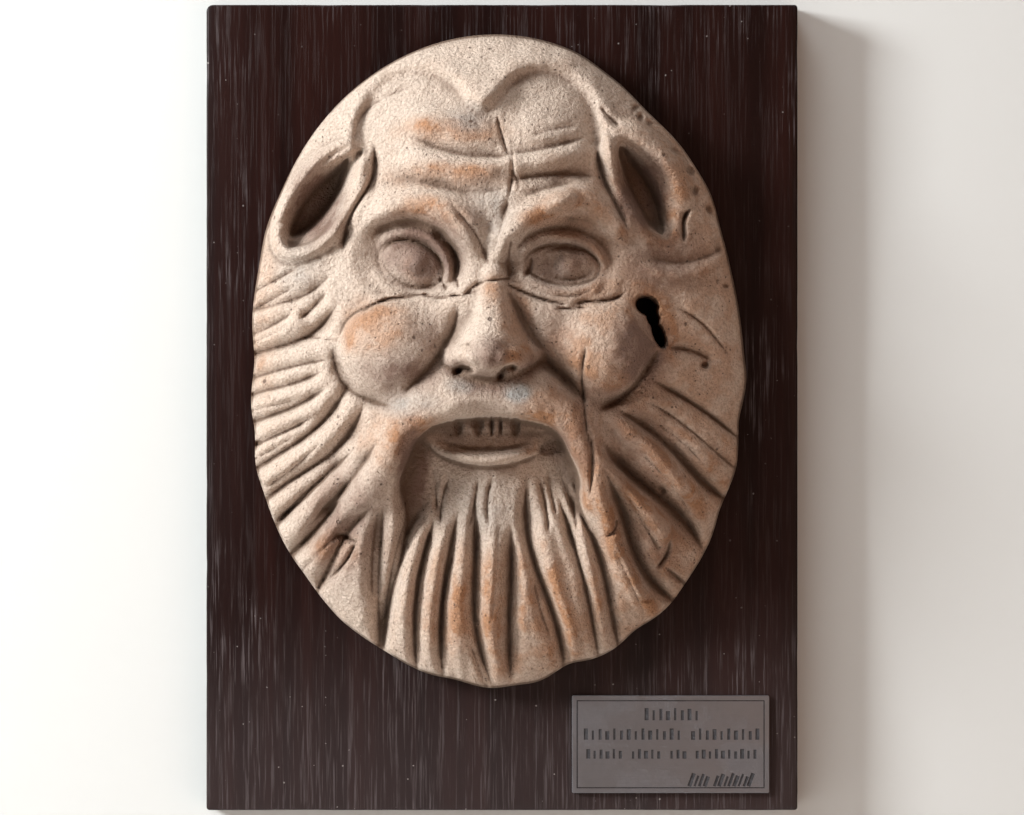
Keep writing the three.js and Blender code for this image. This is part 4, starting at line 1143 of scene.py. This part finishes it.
# %% [markdown]
# ## Fired clay
# Unglazed clay is matt, so its roughness is high and nearly even. Its colour has five parts: buff clay,
# orange where the kiln was hottest, umber where the fire lacked air, pale ash, and brown dust that stays in
# the hollows. Much of it is painted shade: the orange and umber over the right side, the umber in the
# sockets, the ears, beside the nose and in the mouth's corners, the brown of the hollows and creases, which
# is dust and painted shade together, and the dark of the pores. Fine pores and grit are too small for the
# mesh, so they are bump.

# %% A new material, and the mesh's own numbers in it
def new_material(name, specular=0.5):
    """A material with its node tree, the inputs of its shader and the place on the piece."""
    material = bpy.data.materials.new(name)
    material.use_nodes = True
    tree = material.node_tree
    shader = tree.nodes["Principled BSDF"]
    shader.inputs["Specular IOR Level"].default_value = specular
    place = tree.nodes.new("ShaderNodeTexCoord").outputs["Object"]
    return material, tree, shader.inputs, place


def attribute(tree, name):
    """One of the numbers that the mesh holds at its vertices."""
    return node(tree, "ShaderNodeAttribute", attribute_name=name).outputs["Fac"]


def add_bump(tree, shader, height, strength, distance):
    """Fine relief from a height that is too small for the mesh."""
    bump = node(tree, "ShaderNodeBump", {"Height": height, "Strength": strength, "Distance": distance})
    tree.links.new(bump.outputs["Normal"], shader["Normal"])


print("the mask's mesh has", len(mask.data.attributes), "attributes")

# %% Pits, pinholes and the layers of colour
BUFF = (0.63, 0.505, 0.415, 1)
ORANGE = (0.41, 0.205, 0.108, 1)
# Dust brown, also the colour of the painted shade in the hollows and creases.
DUST_AND_SHADE = (0.165, 0.104, 0.072, 1)
ASH = (0.35, 0.325, 0.3, 1)
# Umber of the clay, used mostly as painted shade in recesses and on the shaded right side.
UMBER_AND_SHADE = (0.225, 0.14, 0.108, 1)
PORE = (0.075, 0.045, 0.033, 1)
FIRED_EVERYWHERE = 0.16
PORE_DARKNESS, PORE_DEPTH = 0.8, 0.6
GRAINS_PER_METRE, GRAIN_HEIGHT = 680.0, 0.0021


def clay_pores(tree, place, broad, small):
    """Pits and pinholes, each kind only in its own clouds."""
    pits = use_group(tree, SPOTS, Place=place, Spots_per_metre=230.0, Share=0.14, Radius=0.30)
    pits = calculate(tree, "MULTIPLY", pits, fade(tree, small, 0.5, 1.0))
    pinholes = use_group(tree, SPOTS, Place=place, Spots_per_metre=640.0, Share=0.26, Radius=0.34)
    pinholes = calculate(tree, "MULTIPLY", pinholes, fade(tree, broad, 0.3, 0.8))
    return calculate(tree, "MAXIMUM", pits, pinholes)


def clay_colour(tree, place, broad, small, pores):
    """Buff clay under orange, umber, ash, dust and the dark of the pores; part of the orange, most of the
    umber, the brown in hollows and creases and the dark of the pores are painted shade.
    """
    hollow, crease = attribute(tree, "hollow"), attribute(tree, "crease")
    grit = use_group(tree, PATCHES, Place=place, Patches_per_metre=900.0, From=0.35, To=0.72)
    high = fade(tree, hollow, 0.1, -0.6)
    # Orange of the firing; on the right side it is partly painted shade.
    fired_and_shaded = calculate(tree, "ADD", attribute(tree, "warm"), FIRED_EVERYWHERE)
    for clouds, least, most in ((broad, 0.6, 1.15), (small, 0.7, 1.25), (high, 0.6, 1.0)):
        fired_and_shaded = calculate(tree, "MULTIPLY", fired_and_shaded, fade(tree, clouds, 0, 1, least, most))
    # Umber, mostly painted shade in the sockets, the ears, under the nose, in the mouth's corners and on the
    # right side.
    browned_and_shaded = calculate(tree, "MULTIPLY", attribute(tree, "umber"), fade(tree, small, 0, 1, 0.55, 0.95))
    ashen = calculate(tree, "MULTIPLY", attribute(tree, "ash"), fade(tree, small, 0, 1, 0.5, 1.0))
    # Dust in the hollows, together with painted shade there.
    dust_and_painted_light = calculate(tree, "MULTIPLY", fade(tree, hollow, -0.05, 0.8), fade(tree, small, 0, 1, 0.95, 0.6))
    return layered(tree, BUFF, (
        (fired_and_shaded, ORANGE),
        (browned_and_shaded, UMBER_AND_SHADE),
        (ashen, ASH),
        (dust_and_painted_light, DUST_AND_SHADE),
        # Painted shade in the fine creases, with some dust.
        (fade(tree, crease, 0.1, 0.9, 0.0, 0.8), DUST_AND_SHADE),
        (fade(tree, grit, 0, 1, 0.0, 0.34), DUST_AND_SHADE),
        # The dark of the pits and pinholes is painted shade inside them.
        (calculate(tree, "MULTIPLY", pores, PORE_DARKNESS), PORE),
    ))


print("the clay's colour has seven layers over the buff")


# %% Fired clay
def fired_clay():
    material, tree, shader, place = new_material("fired_clay", specular=0.2)
    broad = use_group(tree, PATCHES, Place=place, Patches_per_metre=38.0, From=0.32, To=0.66)
    small = use_group(tree, PATCHES, Place=place, Patches_per_metre=120.0, From=0.35, To=0.65)
    pores = clay_pores(tree, place, broad, small)
    tree.links.new(clay_colour(tree, place, broad, small, pores), shader["Base Color"])
    tree.links.new(fade(tree, small, 0, 1, 0.82, 0.95), shader["Roughness"])

    grain = node(tree, "ShaderNodeTexNoise", {
        "Vector": place, "Scale": GRAINS_PER_METRE, "Detail": 4.0, "Roughness": 0.65,
    })
    sunk = calculate(tree, "MULTIPLY", pores, PORE_DEPTH)
    height = calculate(tree, "SUBTRACT", grain.outputs["Fac"], sunk)
    add_bump(tree, shader, height, 1.0, GRAIN_HEIGHT)
    return material


mask.data.materials.clear()
mask.data.materials.append(fired_clay())
print("fired clay uses the attributes", ", ".join(FRONT_NUMBERS))

# %% [markdown]
# ## Stained wood
# The plank is stained nearly black and waxed, so it has a soft gloss that shows mostly where light grazes
# it. Its brushed grain runs up and down: noise squeezed hard across the board makes long upright streaks.
# Dust greys the grain in clouds and lies in small specks. Towards the bottom and the left the board is paler:
# painted sheen of the window lamp on the wax, with some dust.

# %% Stained wood
STAIN_DARK = (0.0068, 0.0021, 0.0017, 1)
STAIN_RED = (0.0165, 0.0048, 0.0036, 1)
WOOD_DUST_AND_SHEEN = (0.08, 0.062, 0.062, 1)
SPECK = (0.21, 0.185, 0.175, 1)
GRAIN_STRETCH = 0.03
DUST_AND_SHEEN_SHARE = 0.26


def stained_wood():
    material, tree, shader, place = new_material("stained_wood", specular=0.13)
    along = node(tree, "ShaderNodeMapping", {"Vector": place, "Scale": (1.0, 1.0, GRAIN_STRETCH)}).outputs[0]
    streaks = use_group(tree, PATCHES, Place=along, Patches_per_metre=1300.0, From=0.5, To=0.68)
    bands = use_group(tree, PATCHES, Place=along, Patches_per_metre=60.0, From=0.3, To=0.7)
    clouds = use_group(tree, PATCHES, Place=place, Patches_per_metre=16.0, From=0.46, To=0.7)
    specks = use_group(tree, SPOTS, Place=place, Spots_per_metre=420.0, Share=0.12, Radius=0.2)
    right_up = node(tree, "ShaderNodeSeparateXYZ", {0: place}).outputs
    # Paler towards the bottom and the left: painted sheen of the window lamp, with some dust. It also
    # strengthens the grey streaks and the specks there.
    low_down = fade(tree, right_up[2], -0.06, -0.16)
    far_left = fade(tree, right_up[0], -0.09, -0.18)
    dust_and_sheen = calculate(tree, "MAXIMUM", low_down, far_left)
    uneven = fade(tree, clouds, 0, 1, 0.7, 1.0)
    clouds = calculate(tree, "MULTIPLY", calculate(tree, "ADD", clouds, dust_and_sheen), uneven)

    dust_and_painted_light = calculate(tree, "MULTIPLY", streaks, fade(tree, clouds, 0, 1, 0.1, 0.9))
    specks = calculate(tree, "MULTIPLY", specks, fade(tree, clouds, 0, 0.5, 0.2, 1))
    colour = layered(tree, STAIN_DARK, (
        (bands, STAIN_RED),
        (dust_and_painted_light, WOOD_DUST_AND_SHEEN),
        (calculate(tree, "MULTIPLY", dust_and_sheen, DUST_AND_SHEEN_SHARE), WOOD_DUST_AND_SHEEN),
        (specks, SPECK),
    ))
    tree.links.new(colour, shader["Base Color"])
    tree.links.new(fade(tree, dust_and_painted_light, 0, 0.8, 0.36, 0.62), shader["Roughness"])

    scratches = calculate(tree, "MULTIPLY", streaks, 0.5)
    height = calculate(tree, "SUBTRACT", fade(tree, bands, 0, 1, 0.5, 1.0), scratches)
    add_bump(tree, shader, height, 0.35, 0.0004)
    return material


board.data.materials.append(stained_wood())
print("the grain is drawn out", round(1 / GRAIN_STRETCH), "times along the board")

# %% [markdown]
# ## Engraved metal
# The plate is a silver grey sheet with a fine brushing along it. A metal shows little colour of its own and
# mostly its surroundings, so its roughness sets how soft the reflection is.

# %% Engraved metal
SILVER = (0.26, 0.26, 0.28, 1)
TARNISH = (0.15, 0.145, 0.155, 1)
ENGRAVING_WAX = (0.018, 0.017, 0.02, 1)
BRUSH_STRETCH = 0.02
WORN_SHARE = 0.25
EDGE_MARGIN = 1.0


def engraved_metal():
    material, tree, shader, place = new_material("engraved_metal")
    shader["Metallic"].default_value = 1.0
    along = node(tree, "ShaderNodeMapping", {"Vector": place, "Scale": (BRUSH_STRETCH, 1.0, 1.0)}).outputs[0]
    brushing = use_group(tree, PATCHES, Place=along, Patches_per_metre=1600.0, From=0.3, To=0.7)
    smears = use_group(tree, PATCHES, Place=place, Patches_per_metre=38.0, From=0.38, To=0.66)
    colour = layered(tree, SILVER, [(calculate(tree, "MULTIPLY", smears, 0.6), TARNISH)])
    tree.links.new(colour, shader["Base Color"])
    tree.links.new(fade(tree, smears, 0, 1, 0.36, 0.5), shader["Roughness"])
    add_bump(tree, shader, brushing, 0.12, 0.0001)
    return material


def engraving_wax():
    material, tree, shader, place = new_material("engraving_wax")
    clumps = use_group(tree, PATCHES, Place=place, Patches_per_metre=700.0, From=0.3, To=0.7)
    paler = layered(tree, ENGRAVING_WAX, [(clumps, TARNISH)])
    tree.links.new(layered(tree, ENGRAVING_WAX, [(WORN_SHARE, paler)]), shader["Base Color"])
    shader["Roughness"].default_value = 0.7
    return material


plate.data.materials.clear()
plate.data.materials.append(engraved_metal())
plate.data.materials.append(engraving_wax())
plate_front = -(PLATE_BACK + PLATE_THICKNESS) * MM
for face in plate.data.polygons:
    sunk = 0.5 < (face.center.y - plate_front) / (LINE_DEPTH * MM) < 1.5
    inside = abs(face.center.x / MM - PLATE_MIDDLE[0]) < PLATE_WIDTH / 2 - EDGE_MARGIN
    inside &= abs(face.center.z / MM - PLATE_MIDDLE[1]) < PLATE_HEIGHT / 2 - EDGE_MARGIN
    face.material_index = int(sunk and inside)
print(sum(face.material_index for face in plate.data.polygons), "faces of the plate are engraved")

# %% [markdown]
# ## The pieces and the frame
# Each modelled piece stands for one CAD node, whose plain solid it hides. It rides on the one body of this
# rigid object.

# %% Ride and replace
for piece, cad_node, slot_name in (
    (mask, "mask", "terracotta"),
    (board, "board", "stained_wood"),
    (plate, "plate", "engraved_metal"),
):
    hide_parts(cad_node)
    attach(piece, "root")
    print(piece.name, "stands for", cad_node)

# %% [markdown]
# ## Wall, floor, light and camera
# The plaque hangs on a plain pale wall above a plain pale floor. The wall is see-through from behind, so a
# camera that looks from there still sees the object's back. It casts no shadow either, so a weak lamp behind
# it reaches that back. A large soft lamp on the left is the window: its low angle across the face gives the
# long shadows that show the relief. The rest is weak fill.

# %% Wall and floor
WALL_GAP, ROOM_SIZE, FLOOR_DROP = 0.0006, 3.0, 0.45
PALE = (0.62, 0.61, 0.59, 1)


def stage_plane(name, turn, place):
    """A wide plane that isn't part of the object, tipped by turn from lying flat."""
    bm = bmesh.new()
    bmesh.ops.create_grid(bm, x_segments=1, y_segments=1, size=ROOM_SIZE)
    bmesh.ops.rotate(bm, cent=(0, 0, 0), matrix=Matrix.Rotation(turn, 3, "X"), verts=bm.verts)
    bmesh.ops.translate(bm, vec=place, verts=bm.verts)
    plane = piece_from(bm, name)
    return plane


def pale_plaster():
    """Plaster that a camera behind it, and light from behind it, both pass through."""
    material, tree, shader, _place = new_material("pale_plaster", specular=0.2)
    shader["Base Color"].default_value = PALE
    shader["Roughness"].default_value = 0.9
    behind = tree.nodes.new("ShaderNodeNewGeometry").outputs["Backfacing"]
    clear = tree.nodes.new("ShaderNodeBsdfTransparent").outputs[0]
    painted = tree.nodes["Principled BSDF"].outputs[0]
    casting = tree.nodes.new("ShaderNodeLightPath").outputs["Is Shadow Ray"]
    through = calculate(tree, "MAXIMUM", behind, casting)
    seen = node(tree, "ShaderNodeMixShader", {0: through, 1: painted, 2: clear})
    tree.links.new(seen.outputs[0], tree.nodes["Material Output"].inputs["Surface"])
    return material


plaster = pale_plaster()
wall = stage_plane("wall", np.pi / 2, (0, WALL_GAP, 0))
floor = stage_plane("floor", 0.0, (0, -ROOM_SIZE / 2, -FLOOR_DROP))
for plane in (wall, floor):
    plane.data.materials.append(plaster)
print(f"the wall stands {WALL_GAP / MM:.1f} mm behind the board")

# %% Lights
LAMPS = [
    ("window", (-1.26, -0.66, 0.56), 0.45, 44.0, (0.93, 0.98, 1.0)),
    ("sky", (-0.4, -0.85, 1.5), 0.9, 14.0, (0.94, 0.98, 1.0)),
    ("fill", (0.9, -1.5, -0.2), 1.2, 5.2, (1.0, 0.53, 0.31)),
    ("back", (0.5, 1.3, 0.5), 1.0, 14.0, (1.0, 0.97, 0.94)),
]
ROOM_LIGHT, ROOM_COLOUR = 0.04, (1.0, 0.7, 0.54, 1)


def soft_lamp(name, place, size, power, colour):
    """A square lamp of a size in metres and a power in watts that faces the object."""
    lamp = bpy.data.lights.new(name, "AREA")
    lamp.shape, lamp.size, lamp.energy, lamp.color = "SQUARE", size, power, colour
    holder = bpy.data.objects.new(name, lamp)
    holder.location = place
    holder.rotation_euler = (-Vector(place)).to_track_quat("-Z", "Y").to_euler()
    bpy.context.scene.collection.objects.link(holder)
    print(f"{name}: {power:.0f} W, {Vector(place).length:.1f} m away")


for lamp_row in LAMPS:
    soft_lamp(*lamp_row)
world = bpy.data.worlds.new("room")
world.use_nodes = True
world.node_tree.nodes["Background"].inputs["Color"].default_value = ROOM_COLOUR
world.node_tree.nodes["Background"].inputs["Strength"].default_value = ROOM_LIGHT
bpy.context.scene.world = world
bpy.context.scene.view_settings.view_transform = "Standard"

# %% The camera
FRAME_WIDTH = 0.4157
CAMERA_DISTANCE = 2.2
SENSOR = 36.0
CAMERA_RIGHT = 0.00406

camera_data = bpy.data.cameras.new("camera")
camera_data.sensor_width = SENSOR
camera_data.lens = SENSOR * CAMERA_DISTANCE / FRAME_WIDTH
camera = bpy.data.objects.new("camera", camera_data)
camera.location = (CAMERA_RIGHT, -(BOARD_THICKNESS * MM + CAMERA_DISTANCE), 0)
camera.rotation_euler = (np.pi / 2, 0, 0)
bpy.context.scene.collection.objects.link(camera)
bpy.context.scene.camera = camera
print(f"lens {camera_data.lens:.0f} mm, {CAMERA_DISTANCE} m in front of the board")
